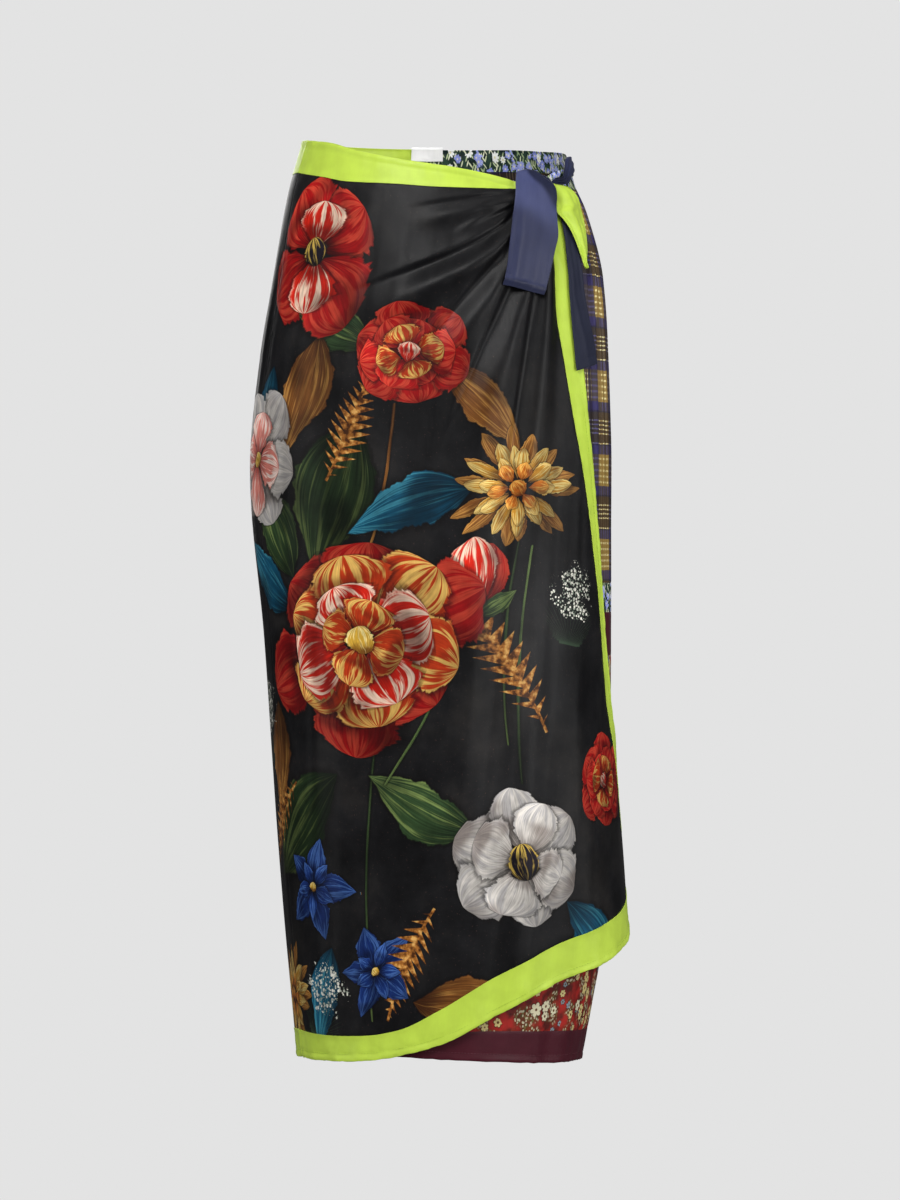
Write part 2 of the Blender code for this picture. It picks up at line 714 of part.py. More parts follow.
def build_front_tail():
    """The tie's front tail: it climbs behind the knot, arches over it and hangs down."""
    arch = []
    clear = TIE_WALL + 1.5 * LAY_GAP
    for angle in FRONT_TAIL_ARCH:
        drop = KNOT_DROP - (KNOT_HALF_HEIGHT + clear) * cos(radians(angle))
        offset = KNOT_OFFSET + (KNOT_HALF_DEPTH + clear) * sin(radians(angle))
        share = (angle + 60.0) / 140.0
        left = 33.6 + (30.0 - 33.6) * share
        right = 47.7 - 0.3 * share
        arch.append(Across(left, drop + tilt(left), offset, right, drop + tilt(right), offset))
    rows = tuple(arch) + FRONT_TAIL_ROWS
    ribbon("tie_tail_front", rows_to_grid(rows, 1, 4), TIE_WALL, "navy")


def build_flap():
    grid = rows_to_grid(FLAP_ROWS, 2, 5)
    ribbon("corner_flap", grid, FLAP_WALL, "lime")


def build_side_tail():
    grid = rows_to_grid(SIDE_TAIL_ROWS, 2, 3)
    lying = outer_offset(grid[..., 0], grid[..., 1]) + TIE_WALL + LAY_GAP
    below_knot = grid[..., 1] > EDGE_INNER[0].drop - 0.006
    grid[..., 2] = np.where(below_knot, np.maximum(grid[..., 2], lying), grid[..., 2])
    ribbon("tie_tail_side", grid, TIE_WALL, "navy")


def build_strap():
    """The tie's strap, from the side seam forward to the knot, puffed where it turns."""
    grid = rows_to_grid(STRAP_ROWS, 2, 4)
    u = np.linspace(0.0, 1.0, 5)[None, :]
    puffed = smooth(grid[..., 0], 60.0, 72.0) * (1.0 - smooth(grid[..., 0], 96.0, 112.0))
    grid[..., 2] += STRAP_PUFF * puffed * np.sin(pi * u)
    ribbon("tie_strap", grid, TIE_WALL, "navy")


def build_knot():
    """The wound knot, a bundle that lies across the waist edge."""
    steps = np.linspace(0.0, 1.0, 13)
    shares = np.linspace(0.0, 1.0, len(KNOT_BUNDLE))
    along = curve(steps, shares, column(KNOT_BUNDLE, "along"))
    size = curve(steps, shares, column(KNOT_BUNDLE, "share"))
    angle = np.linspace(0.0, 2.0 * pi, KNOT_SIDES, endpoint=False)
    turn = KNOT_TURN + KNOT_HALF_TURN * along[:, None] + 0.0 * angle
    drop = KNOT_DROP + tilt(turn) + KNOT_HALF_HEIGHT * size[:, None] * np.cos(angle)
    offset = KNOT_OFFSET + KNOT_HALF_DEPTH * size[:, None] * np.sin(angle)
    points = place(turn, drop, offset)
    rings, sides = points.shape[:2]
    faces = []
    for ring in range(rings - 1):
        for side in range(sides):
            after = (side + 1) % sides
            low = ring * sides
            faces.append((low + side, low + sides + side, low + sides + after, low + after))
    faces.append(tuple(range(sides)))
    faces.append(tuple(range(rings * sides - 1, (rings - 1) * sides - 1, -1)))
    mesh = bpy.data.meshes.new("tie_knot")
    mesh.from_pydata(points.reshape(-1, 3).tolist(), [], faces)
    add_node("tie_knot", mesh, "navy")


def build_label():
    """The bare label inside the centre back, standing just above the waist edge."""
    turn = np.linspace(LABEL_TURNS[0], LABEL_TURNS[1], 5)[None, :] + np.zeros((4, 1))
    drop = np.linspace(LABEL_DROPS[0], LABEL_DROPS[1], 4)[:, None] + np.zeros((1, 5))
    offset = inner_offset(turn, np.maximum(drop, 0.0)) - CLOTH_WALL - 1.5 * LAY_GAP
    points = place(turn, drop, offset)
    wall_from("label", points, normals_of(turn, drop, inner_offset), LABEL_WALL, "white")


def main():
    for item in list(bpy.data.objects):
        bpy.data.objects.remove(item)
    build_outer_front()
    build_outer_back()
    build_patchwork()
    build_knot()
    build_front_tail()
    build_flap()
    build_side_tail()
    build_strap()
    build_label()


main()
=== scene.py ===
"""The looks of the wrap skirt: draped silk panels, printed and plain, with the knotted tie."""

from collections import namedtuple
from math import cos, pi, radians, sin

import bpy
import numpy as np
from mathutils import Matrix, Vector


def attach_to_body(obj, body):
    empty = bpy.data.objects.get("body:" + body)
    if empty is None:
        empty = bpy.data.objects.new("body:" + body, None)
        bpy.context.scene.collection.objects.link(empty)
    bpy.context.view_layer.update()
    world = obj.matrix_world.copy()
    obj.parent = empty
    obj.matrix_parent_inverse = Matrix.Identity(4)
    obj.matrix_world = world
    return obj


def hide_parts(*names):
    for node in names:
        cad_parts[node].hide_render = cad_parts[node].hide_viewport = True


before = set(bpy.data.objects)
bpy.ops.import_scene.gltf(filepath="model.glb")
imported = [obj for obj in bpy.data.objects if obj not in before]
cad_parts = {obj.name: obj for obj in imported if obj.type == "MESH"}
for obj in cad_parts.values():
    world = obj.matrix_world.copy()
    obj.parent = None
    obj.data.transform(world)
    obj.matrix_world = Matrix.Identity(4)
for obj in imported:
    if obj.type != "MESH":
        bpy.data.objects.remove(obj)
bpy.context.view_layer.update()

# ---------------------------------------------------------------- sizes, in metres and degrees
SHELL = 0.0009
BAND_SHELL = 0.0011
TIE_WALL = 0.0014
FLAP_WALL = 0.0013
RIM_STEP = 0.0009
RIM_ROUND = 0.45
SEAM_DIP = 0.00035
LAY_GAP = 0.0004
CLOTH_WALL = 0.0012
NORMAL_STEP = 0.0012
PRINT_RADIUS = 0.165
NEAR_RADIUS = 0.15
KNOT_RADIUS = 0.145
METRES = radians(1.0) * NEAR_RADIUS
OVERLAP_LIFT_START = -85.0
OVERLAP_LIFT_END = -40.0
BACK_SEAM_TURN = 190.0
RIGHT_SEAM_TURN = 115.0
UNDERLAP_EDGE_TURN = -30.0
DITSY_WAIST_HEIGHT = 0.021
DITSY_MID_TOP = 0.444
BURGUNDY_MID_TOP = 0.473
RED_FLORAL_TOP = 0.516


def rows_of(kind, *rows):
    return tuple(kind(*row) for row in rows)


def marks(*pairs):
    return rows_of(Mark, *pairs)


Section = namedtuple("Section", "drop left right front back")
SECTIONS = rows_of(
    Section,
    (0.0, 0.132, 0.131, 0.098, 0.098),
    (0.06, 0.148, 0.146, 0.108, 0.112),
    (0.14, 0.162, 0.166, 0.116, 0.128),
    (0.22, 0.175, 0.171, 0.12, 0.136),
    (0.33, 0.185, 0.175, 0.121, 0.132),
    (0.5, 0.171, 0.176, 0.119, 0.122),
    (0.66, 0.159, 0.174, 0.117, 0.116),
    (0.8, 0.148, 0.168, 0.114, 0.112),
    (0.86, 0.143, 0.158, 0.112, 0.11),
    (0.922, 0.138, 0.146, 0.11, 0.108),
)
Stand = namedtuple("Stand", "drop front side")
STANDS = rows_of(
    Stand,
    (0.0, 0.005, 0.005),
    (0.45, 0.005, 0.0046),
    (0.56, 0.0055, 0.003),
    (0.621, 0.006, 0.0068),
    (0.661, 0.0063, 0.0102),
    (0.701, 0.0067, 0.015),
    (0.741, 0.007, 0.0195),
    (0.8, 0.0078, 0.0262),
    (0.922, 0.009, 0.03),
)
# Creases out of the knot: a sharp dip along the line, a soft ridge below it
Crease = namedtuple(
    "Crease", "turn_a drop_a turn_b drop_b turn_c drop_c dip lip rise width_a width_c"
)
CREASE_STEP = 0.0013
CREASE_POINTS = 25
CREASES = rows_of(
    Crease,
    (32.0, 0.064, 12.0, 0.07, -12.0, 0.08, 0.002, 0.0012, 0.003, 0.006, 0.013),
    (31.5, 0.076, 8.9, 0.119, -34.0, 0.164, 0.0034, 0.0026, 0.008, 0.008, 0.022),
    (31.0, 0.092, 15.0, 0.146, -10.0, 0.236, 0.0032, 0.0024, 0.0066, 0.008, 0.02),
    (32.5, 0.108, 18.8, 0.19, 0.0, 0.32, 0.0034, 0.002, 0.0074, 0.01, 0.024),
    (36.5, 0.106, 29.8, 0.215, 15.0, 0.48, 0.0032, 0.0022, 0.0078, 0.008, 0.022),
)
PINCH_COUNT = 15
PINCH_START = 0.006
Ridge = namedtuple("Ridge", "turn drop_top drop_low rise width lean")
OVERLAP_RIDGES = rows_of(
    Ridge,
    (14.0, 0.4, 0.8, 0.0034, 0.02, -6.0),
    (29.0, 0.44, 0.86, 0.0044, 0.022, 3.0),
    (46.0, 0.46, 0.84, 0.004, 0.02, 8.0),
    (-8.0, 0.3, 0.7, 0.0026, 0.026, -4.0),
    (-34.0, 0.34, 0.92, 0.0028, 0.028, 2.0),
)
BACK_RIDGES = rows_of(
    Ridge,
    (208.0, 0.06, 0.5, 0.0036, 0.022, 5.0),
    (232.0, 0.2, 0.8, 0.0042, 0.03, 4.0),
    (196.0, 0.42, 0.9, 0.0034, 0.026, -2.0),
    (173.0, 0.05, 0.46, 0.0036, 0.022, -4.0),
    (150.0, 0.1, 0.6, 0.004, 0.026, -6.0),
    (128.0, 0.34, 0.88, 0.0032, 0.028, -2.0),
)
UNDER_RIDGES = rows_of(
    Ridge,
    (36.0, 0.76, 0.92, 0.003, 0.012, 4.0),
    (58.0, 0.74, 0.92, 0.0026, 0.01, -3.0),
)
GATHER_COUNT = 8
GATHER_FIRST_TURN = 62.0
GATHER_PITCH = 5.6
GATHER_RISE = 0.0023
GATHER_TOP = 0.045
GATHER_LOW = 0.43
KNOT_TURN = 40.6
KNOT_DROP = 0.06
KNOT_OFFSET = 0.0122
KNOT_HALF_TURN = 7.4
KNOT_HALF_HEIGHT = 0.013
KNOT_HALF_DEPTH = 0.0062
KNOT_TILT = 0.003
GATHER_LIFT = 0.0055
GATHER_LIFT_REACH = 0.014
Mark = namedtuple("Mark", "turn drop")
OVERLAP_TOP_EDGE = marks(
    (-70.0, 0.0055), (-47.9, 0.012), (-31.0, 0.0225), (-12.7, 0.032),
    (9.9, 0.041), (25.8, 0.049), (32.9, 0.0545),
)
LIME_WAIST_SEAM = marks(
    (-70.0, 0.0375), (-47.2, 0.046), (-34.5, 0.052), (-14.5, 0.056),
    (3.5, 0.0595), (22.0, 0.0602), (32.9, 0.06),
)
UNDER_KNOT_EDGE = marks(
    (32.9, 0.06), (33.0, 0.069), (34.5, 0.0742), (38.5, 0.0755), (46.2, 0.0785)
)
EDGE_INNER = marks(
    (46.2, 0.0785), (42.8, 0.125), (42.8, 0.17), (45.6, 0.22), (50.0, 0.285),
    (54.6, 0.34), (60.6, 0.415), (66.3, 0.491), (73.0, 0.56), (81.5, 0.62),
    (92.0, 0.68), (103.0, 0.7355),
)
EDGE_OUTER = marks(
    (53.2, 0.0785), (51.8, 0.125), (52.4, 0.17), (55.2, 0.22), (58.2, 0.285),
    (61.2, 0.34), (65.6, 0.415), (70.4, 0.491), (77.6, 0.552), (88.0, 0.612),
    (101.0, 0.68), (115.0, 0.752),
)
HEM_SEAM = marks(
    (-70.0, 0.886), (-46.0, 0.887), (-26.9, 0.885), (-14.0, 0.879), (0.5, 0.861),
    (20.6, 0.827), (42.8, 0.798), (64.0, 0.781), (84.0, 0.761), (103.0, 0.7355),
)
OVERLAP_HEM = marks(
    (-70.0, 0.913), (-46.9, 0.912), (-25.0, 0.9085), (-10.9, 0.902), (4.0, 0.8905),
    (21.5, 0.865), (44.6, 0.835), (66.9, 0.817), (90.0, 0.792), (115.0, 0.752),
)
INNER_WAIST_EDGE = marks(
    (-30.0, 0.034), (-15.0, 0.042), (0.0, 0.047), (15.0, 0.054), (30.0, 0.06),
    (38.0, 0.058), (48.0, 0.048), (58.0, 0.039), (70.0, 0.034), (84.0, 0.03),
    (92.0, 0.024), (101.0, 0.013), (115.0, 0.009), (150.0, 0.002), (190.0, 0.0),
)
INNER_HEM = marks(
    (-30.0, 0.903), (17.3, 0.91), (56.9, 0.916), (90.0, 0.918), (190.0, 0.92)
)
BURGUNDY_HEM_SEAM = marks(
    (-30.0, 0.8805), (17.3, 0.881), (56.9, 0.885), (80.0, 0.8875), (110.0, 0.8865), (190.0, 0.885)
)
BACK_LEFT_LINES = (
    marks((-170.0, 0.0), (-110.0, 0.001), (-70.0, 0.0055)),
    marks((-170.0, 0.035), (-110.0, 0.0355), (-70.0, 0.0375)),
    marks((-170.0, 0.893), (-120.0, 0.891), (-70.0, 0.886)),
    marks((-170.0, 0.92), (-120.0, 0.918), (-70.0, 0.913)),
)
Across = namedtuple("Across", "turn_l drop_l offset_l turn_r drop_r offset_r")
FRONT_TAIL_ARCH = (-60.0, -40.0, -20.0, 0.0, 20.0, 40.0, 60.0, 80.0)
FRONT_TAIL_ROWS = rows_of(
    Across,
    (29.4, 0.063, 0.0205, 46.9, 0.0665, 0.0205),
    (28.2, 0.076, 0.0201, 45.6, 0.076, 0.0203),
    (27.0, 0.088, 0.0194, 44.6, 0.088, 0.02),
    (25.6, 0.105, 0.0184, 43.6, 0.105, 0.0196),
    (24.3, 0.122, 0.0178, 41.2, 0.121, 0.019),
    (23.2, 0.14, 0.017, 38.6, 0.142, 0.0182),
    (21.9, 0.155, 0.0164, 36.2, 0.164, 0.0172),
)
FLAP_ROWS = rows_of(
    Across,
    (48.35, 0.053, 0.0128, 57.0, 0.0545, 0.0124),
    (48.35, 0.059, 0.013, 62.6, 0.06, 0.0112),
    (48.35, 0.067, 0.0132, 65.2, 0.069, 0.0108),
    (48.1, 0.074, 0.0132, 65.9, 0.076, 0.0108),
    (46.6, 0.079, 0.0132, 65.7, 0.082, 0.0108),
    (50.6, 0.09, 0.013, 65.2, 0.091, 0.0108),
    (53.3, 0.101, 0.0126, 64.2, 0.102, 0.0108),
    (55.6, 0.117, 0.0118, 62.2, 0.118, 0.0106),
    (58.0, 0.134, 0.011, 58.8, 0.135, 0.0104),
)
SIDE_TAIL_ROWS = rows_of(
    Across,
    (48.4, 0.068, 0.0098, 48.4, 0.059, 0.0098),
    (49.6, 0.076, 0.009, 51.8, 0.061, 0.0094),
    (50.6, 0.088, 0.0078, 55.0, 0.07, 0.0086),
    (50.2, 0.105, 0.007, 56.4, 0.095, 0.0074),
    (49.3, 0.128, 0.0068, 56.8, 0.121, 0.007),
    (49.1, 0.155, 0.0068, 57.2, 0.152, 0.007),
    (49.6, 0.185, 0.0068, 59.4, 0.184, 0.007),
    (50.6, 0.212, 0.0068, 62.2, 0.21, 0.007),
    (51.2, 0.236, 0.0068, 63.5, 0.228, 0.007),
)
STRAP_ROWS = rows_of(
    Across,
    (48.4, 0.0562, 0.01, 48.4, 0.0516, 0.01),
    (50.5, 0.0545, 0.0094, 50.5, 0.049, 0.0094),
    (54.0, 0.052, 0.008, 54.0, 0.0462, 0.008),
    (60.0, 0.0505, 0.0052, 60.0, 0.044, 0.0052),
    (66.0, 0.048, 0.0028, 66.0, 0.033, 0.0036),
    (72.0, 0.0422, 0.0019, 72.0, 0.0222, 0.0032),
    (78.0, 0.039, 0.0019, 78.0, 0.0202, 0.003),
    (85.0, 0.0372, 0.0019, 85.0, 0.0194, 0.0028),
    (93.0, 0.036, 0.0019, 93.0, 0.0184, 0.0024),
    (104.0, 0.036, 0.0019, 104.0, 0.0162, 0.0019),
    (114.0, 0.036, 0.0019, 114.0, 0.0145, 0.0019),
)
STRAP_PUFF = 0.0018
KNOT_RINGS = 60
KNOT_SIDES = 72
KNOT_WINDS = 3.0
KNOT_GROOVE = 0.001
Bundle = namedtuple("Bundle", "along share")
KNOT_BUNDLE = rows_of(
    Bundle,
    (-1.0, 0.62), (-0.86, 0.86), (-0.55, 1.0), (-0.15, 0.93),
    (0.25, 1.0), (0.6, 0.98), (0.86, 0.86), (1.0, 0.66),
)
LABEL_TURNS = (176.8, 190.6)
LABEL_DROPS = (-0.002, 0.0115)
LABEL_WALL = 0.0008


# ---------------------------------------------------------------- shape functions
def smooth(value, low, high):
    share = np.clip((np.asarray(value, float) - low) / (high - low), 0.0, 1.0)
    return share * share * (3.0 - 2.0 * share)


def bump(value, middle, width):
    return np.exp(-(((value - middle) / width) ** 2))


def curve(value, places, heights):
    """A smooth curve through the heights at the places, with no overshoot, flat outside them."""
    value = np.clip(np.asarray(value, float), places[0], places[-1])
    places = np.asarray(places, float)
    heights = np.asarray(heights, float)
    steps = np.diff(heights) / np.diff(places)
    same = steps[:-1] * steps[1:] > 0.0
    total = np.where(same, steps[:-1] + steps[1:], 1.0)
    inner = np.where(same, 2.0 * steps[:-1] * steps[1:] / total, 0.0)
    slopes = np.concatenate([[steps[0]], inner, [steps[-1]]])
    index = np.clip(np.searchsorted(places, value) - 1, 0, len(places) - 2)
    width = places[index + 1] - places[index]
    t = (value - places[index]) / width
    rise = (2 * t**3 - 3 * t**2 + 1) * heights[index]
    rise += (t**3 - 2 * t**2 + t) * width * slopes[index]
    rise += (-2 * t**3 + 3 * t**2) * heights[index + 1]
    rise += (t**3 - t**2) * width * slopes[index + 1]
    return rise


def column(rows, name):
    return np.array([getattr(row, name) for row in rows])


def at_drop(rows, name, drop):
    return curve(drop, column(rows, "drop"), column(rows, name))


def place(turn, drop, offset):
    """Points in the frame for places on the cloth."""
    turn, drop, offset = np.broadcast_arrays(*(np.asarray(v, float) for v in (turn, drop, offset)))
    s, c = np.sin(np.radians(turn)), np.cos(np.radians(turn))
    left, right, front, back = (at_drop(SECTIONS, name, drop) for name in Section._fields[1:])
    half_width = np.where(s < 0, left, right)
    half_depth = np.where(c > 0, front, back)
    length = np.hypot(half_depth * s, half_width * c)
    x = half_width * s + offset * half_depth * s / length
    y = -half_depth * c - offset * half_width * c / length
    return np.stack([x, y, -drop], axis=-1)


def place_grid(grid):
    return place(*np.moveaxis(grid, -1, 0))


def value_noise(x, y, seed):
    """Smooth noise from -1 to 1 on a unit lattice."""
    xi, yi = np.floor(x), np.floor(y)
    fx, fy = (f * f * f * (f * (f * 6 - 15) + 10) for f in (x - xi, y - yi))

    def corner(i, j):
        h = np.sin(i * 127.1 + j * 311.7 + seed * 74.7) * 43758.5453
        return 2.0 * (h - np.floor(h)) - 1.0

    top, low = (corner(xi, j) * (1 - fx) + corner(xi + 1, j) * fx for j in (yi, yi + 1))
    return top * (1 - fy) + low * fy


def crease_height(crease, turn, drop):
    """The height of one crease: the cloth above its line stands out in a lip and drops away at
    the line, then rises again into a soft ridge below it."""
    t = np.linspace(0.0, 1.0, CREASE_POINTS)

    def bow(a, b, c):
        return (1 - t) ** 2 * a + 2 * t * (1 - t) * (2 * b - (a + c) / 2.0) + t**2 * c

    px = bow(crease.turn_a, crease.turn_b, crease.turn_c) * METRES
    py = bow(crease.drop_a, crease.drop_b, crease.drop_c)
    reach = 3.2 * crease.width_c
    near = (turn * METRES > px.min() - reach) & (turn * METRES < px.max() + reach)
    near &= (drop > py.min() - reach) & (drop < py.max() + reach)
    height = np.zeros(turn.shape)
    if not near.any():
        return height
    x, y = turn[near][:, None] * METRES, drop[near][:, None]
    ax, ay, bx, by = px[:-1], py[:-1], np.diff(px), np.diff(py)
    share = np.clip(((x - ax) * bx + (y - ay) * by) / (bx**2 + by**2), 0.0, 1.0)
    dx, dy = x - ax - share * bx, y - ay - share * by
    away = np.hypot(dx, dy)
    nearest = np.argmin(away, axis=-1)[:, None]
    share, side, away = (
        np.take_along_axis(values, nearest, -1)[:, 0] for values in (share, bx * dy - by * dx, away)
    )
    along = (share + nearest[:, 0]) / (CREASE_POINTS - 1)
    distance = away * np.where(side < 0, 1.0, -1.0)
    width = crease.width_a + (crease.width_c - crease.width_a) * along
    fade = smooth(along, -0.1, 0.1) * (1.0 - smooth(along, 0.6, 1.0))
    beyond = 1.0 / (1.0 + np.exp(-np.clip(distance / CREASE_STEP, -30.0, 30.0)))
    lip = crease.lip * np.exp(np.minimum(distance, 0.0) / (0.9 * width)) * (1.0 - beyond)
    dip = crease.dip * np.exp(-np.maximum(distance, 0.0) / (0.45 * width)) * beyond
    rise = crease.rise * bump(distance, 1.25 * width, 0.75 * width)
    height[near] = fade * (rise + lip - dip)
    return height


def pinch_crease(k):
    """One of the short fine creases that fan out of the knot between the large ones."""
    angle = radians(-4.0 + 97.0 * (k + 0.35 * sin(5.1 * k)) / (PINCH_COUNT - 1))
    length = 0.04 + 0.045 * (0.5 + 0.5 * sin(2.3 * k + 1.0))
    turn = 32.6 + 9.0 * (k / (PINCH_COUNT - 1)) ** 2
    drop = 0.062 + 0.016 * min(1.0, k / 7.0)
    ends = []
    for r in (PINCH_START, 0.55 * length, length):
        bend = 0.1 * (r / length) ** 2
        ends += [turn - cos(angle + bend) * r / METRES, drop + sin(angle + bend) * r]
    rise = 0.0007 + 0.0005 * sin(3.7 * k) ** 2
    return Crease(*ends, 0.8 * rise, 0.5 * rise, rise, 0.0024, 0.006)


PINCHES = tuple(pinch_crease(k) for k in range(PINCH_COUNT))


def metres_round(turn):
    """How far a turn reaches round the skirt, in metres."""
    return turn * radians(1.0) * NEAR_RADIUS


def ridge_height(ridge, turn, drop):
    span = ridge.drop_low - ridge.drop_top
    away = metres_round(turn - (ridge.turn + ridge.lean * (drop - ridge.drop_top) / span))
    fade = smooth(drop, ridge.drop_top - 0.02, ridge.drop_top + 0.35 * span)
    if ridge.drop_low < 0.85:
        fade = fade * (1.0 - smooth(drop, ridge.drop_low - 0.35 * span, ridge.drop_low + 0.02))
    return ridge.rise * fade * bump(away, 0.0, ridge.width)


def back_height(turn, drop):
    turn = np.where(turn < -90.0, turn + 360.0, turn)
    return sum(ridge_height(ridge, turn, drop) for ridge in BACK_RIDGES)


def knot_lift(turn, drop):
    metres = radians(1.0) * KNOT_RADIUS
    left = (turn - (KNOT_TURN - KNOT_HALF_TURN)) * metres
    right = (turn - (KNOT_TURN + KNOT_HALF_TURN)) * metres
    across = np.minimum(left, 0.0) + np.maximum(right, 0.0)
    return GATHER_LIFT * np.exp(-(across**2 + (drop - KNOT_DROP) ** 2) / GATHER_LIFT_REACH**2)


def silk_wave(turn, drop):
    """The faint long undulation of thin silk that hangs: mostly upright, uneven."""
    around, other = (3.1 * way(np.radians(turn)) for way in (np.cos, np.sin))
    wave = value_noise(around * 1.9 + 5.0, other * 1.9 + drop * 4.0, 1.0)
    fine = value_noise(around * 5.3 + 9.0, other * 5.3 + drop * 9.0, 4.0)
    return smooth(drop, 0.03, 0.16) * (0.0011 * wave + 0.00035 * fine)


def outer_offset(turn, drop):
    """The printed outer layer, from the centre back round the left side to the front edge."""
    turn, drop = np.asarray(turn, float), np.asarray(drop, float)
    near, far = (at_drop(STANDS, name, drop) for name in ("front", "side"))
    flared = near + (far - near) * smooth(turn, 38.0, 86.0)
    offset = flared * smooth(turn, OVERLAP_LIFT_START, OVERLAP_LIFT_END)
    offset = offset + back_height(turn, drop) * (turn < -90.0)
    front = turn > -90.0
    if np.any(front):
        for crease in CREASES + PINCHES:
            offset = offset + crease_height(crease, turn, drop) * front
        for ridge in OVERLAP_RIDGES:
            offset = offset + ridge_height(ridge, turn, drop) * front
    return offset + knot_lift(turn, drop) * front + silk_wave(turn, drop)


def waist_pull(turn, drop):
    """How far the tie draws the inner waist in on the right."""
    return 0.0034 * bump(drop, 0.034, 0.028) * bump(turn, 88.0, 28.0)


def inner_offset(turn, drop):
    """The patchwork layer, from the centre back round the right side and under the overlap."""
    turn, drop = np.asarray(turn, float), np.asarray(drop, float)
    phase = (turn - GATHER_FIRST_TURN) / GATHER_PITCH
    inside = smooth(phase, -0.5, 0.5) * (1.0 - smooth(phase, GATHER_COUNT - 0.5, GATHER_COUNT + 0.5))
    fade = smooth(drop, GATHER_TOP, GATHER_TOP + 0.03) * (1.0 - smooth(drop, 0.16, GATHER_LOW))
    crowd = 0.35 * value_noise(turn / 9.0, drop / 0.11, 7.0)
    offset = GATHER_RISE * inside * fade * np.cos(2.0 * pi * (phase + crowd * fade))
    fine = 0.0004 * np.cos(2.0 * pi * (2.3 * phase + 2.0 * crowd)) * inside * fade
    offset = offset + fine + back_height(turn, drop) * (turn > 90.0) + silk_wave(turn, drop)
    folds = sum(ridge_height(ridge, turn, drop) for ridge in UNDER_RIDGES)
    return offset + folds * (turn < 110.0) - waist_pull(turn, drop)


def unit(vectors):
    return vectors / np.maximum(np.linalg.norm(vectors, axis=-1, keepdims=True), 1e-12)


def normals_of(turn, drop, offset_at):
    """The outward normals of a layer."""
    def at(around, down):
        return place(turn + around, drop + down, offset_at(turn + around, drop + down))

    step = NORMAL_STEP / METRES
    return unit(np.cross(at(0.0, NORMAL_STEP) - at(0.0, -NORMAL_STEP), at(step, 0.0) - at(-step, 0.0)))


def length_of(line):
    turns = metres_round(column(line, "turn"))
    return float(np.hypot(np.diff(turns), np.diff(column(line, "drop"))).sum())


def edge(line, shares):
    turns, drops = (column(line, name) for name in Mark._fields)
    steps = np.hypot(metres_round(np.diff(turns)), np.diff(drops))
    along = np.concatenate([[0.0], np.cumsum(steps)]) / steps.sum()
    return np.stack([curve(shares, along, turns), curve(shares, along, drops)], axis=-1)


def between(line, low, high):
    inside = [m for m in line if low + 0.5 < m.turn < high - 0.5]
    ends = [Mark(t, float(curve(t, column(line, "turn"), column(line, "drop")))) for t in (low, high)]
    return (ends[0], *inside, ends[1])


def straight(first, last):
    return (first, Mark((first.turn + last.turn) / 2.0, (first.drop + last.drop) / 2.0), last)


def blend(top, bottom, left, right, across, down):
    """Turns and drops on a grid between four edges: a Coons patch."""
    u = across[None, :, None]
    v = down[:, None, None]
    t, b = edge(top, across)[None], edge(bottom, across)[None]
    left_side, right_side = edge(left, down)[:, None], edge(right, down)[:, None]
    corners = (1 - u) * (1 - v) * t[:, :1] + u * (1 - v) * t[:, -1:]
    corners = corners + (1 - u) * v * b[:, :1] + u * v * b[:, -1:]
    return (1 - v) * t + v * b + (1 - u) * left_side + u * right_side - corners


def even(count):
    return np.linspace(0.0, 1.0, count + 1)


def rimmed(shares, length):
    """The same shares with one more close to each end, so that edges stay crisp."""
    near = RIM_STEP / length
    inner = shares[(shares > 1.6 * near) & (shares < 1.0 - 1.6 * near)]
    return np.concatenate([[0.0, near], inner, [1.0 - near, 1.0]])


# ---------------------------------------------------------------- meshes
def surface_normals(points):
    return unit(np.cross(np.gradient(points, axis=0), np.gradient(points, axis=1)))


def mesh_from(name, verts, faces):
    mesh = bpy.data.meshes.new(name)
    mesh.from_pydata(verts, [], faces)
    mesh.polygons.foreach_set("use_smooth", np.ones(len(mesh.polygons), dtype=bool))
    mesh.validate()
    return mesh


def link(name, data):
    made = bpy.data.objects.new(name, data)
    bpy.context.scene.collection.objects.link(made)
    return made


def put_uv(mesh, uv):
    layer = mesh.uv_layers.new(name="cloth")
    loops = np.zeros(len(mesh.loops), dtype=np.int32)
    mesh.loops.foreach_get("vertex_index", loops)
    layer.data.foreach_set("uv", uv[loops].astype(np.float32).ravel())


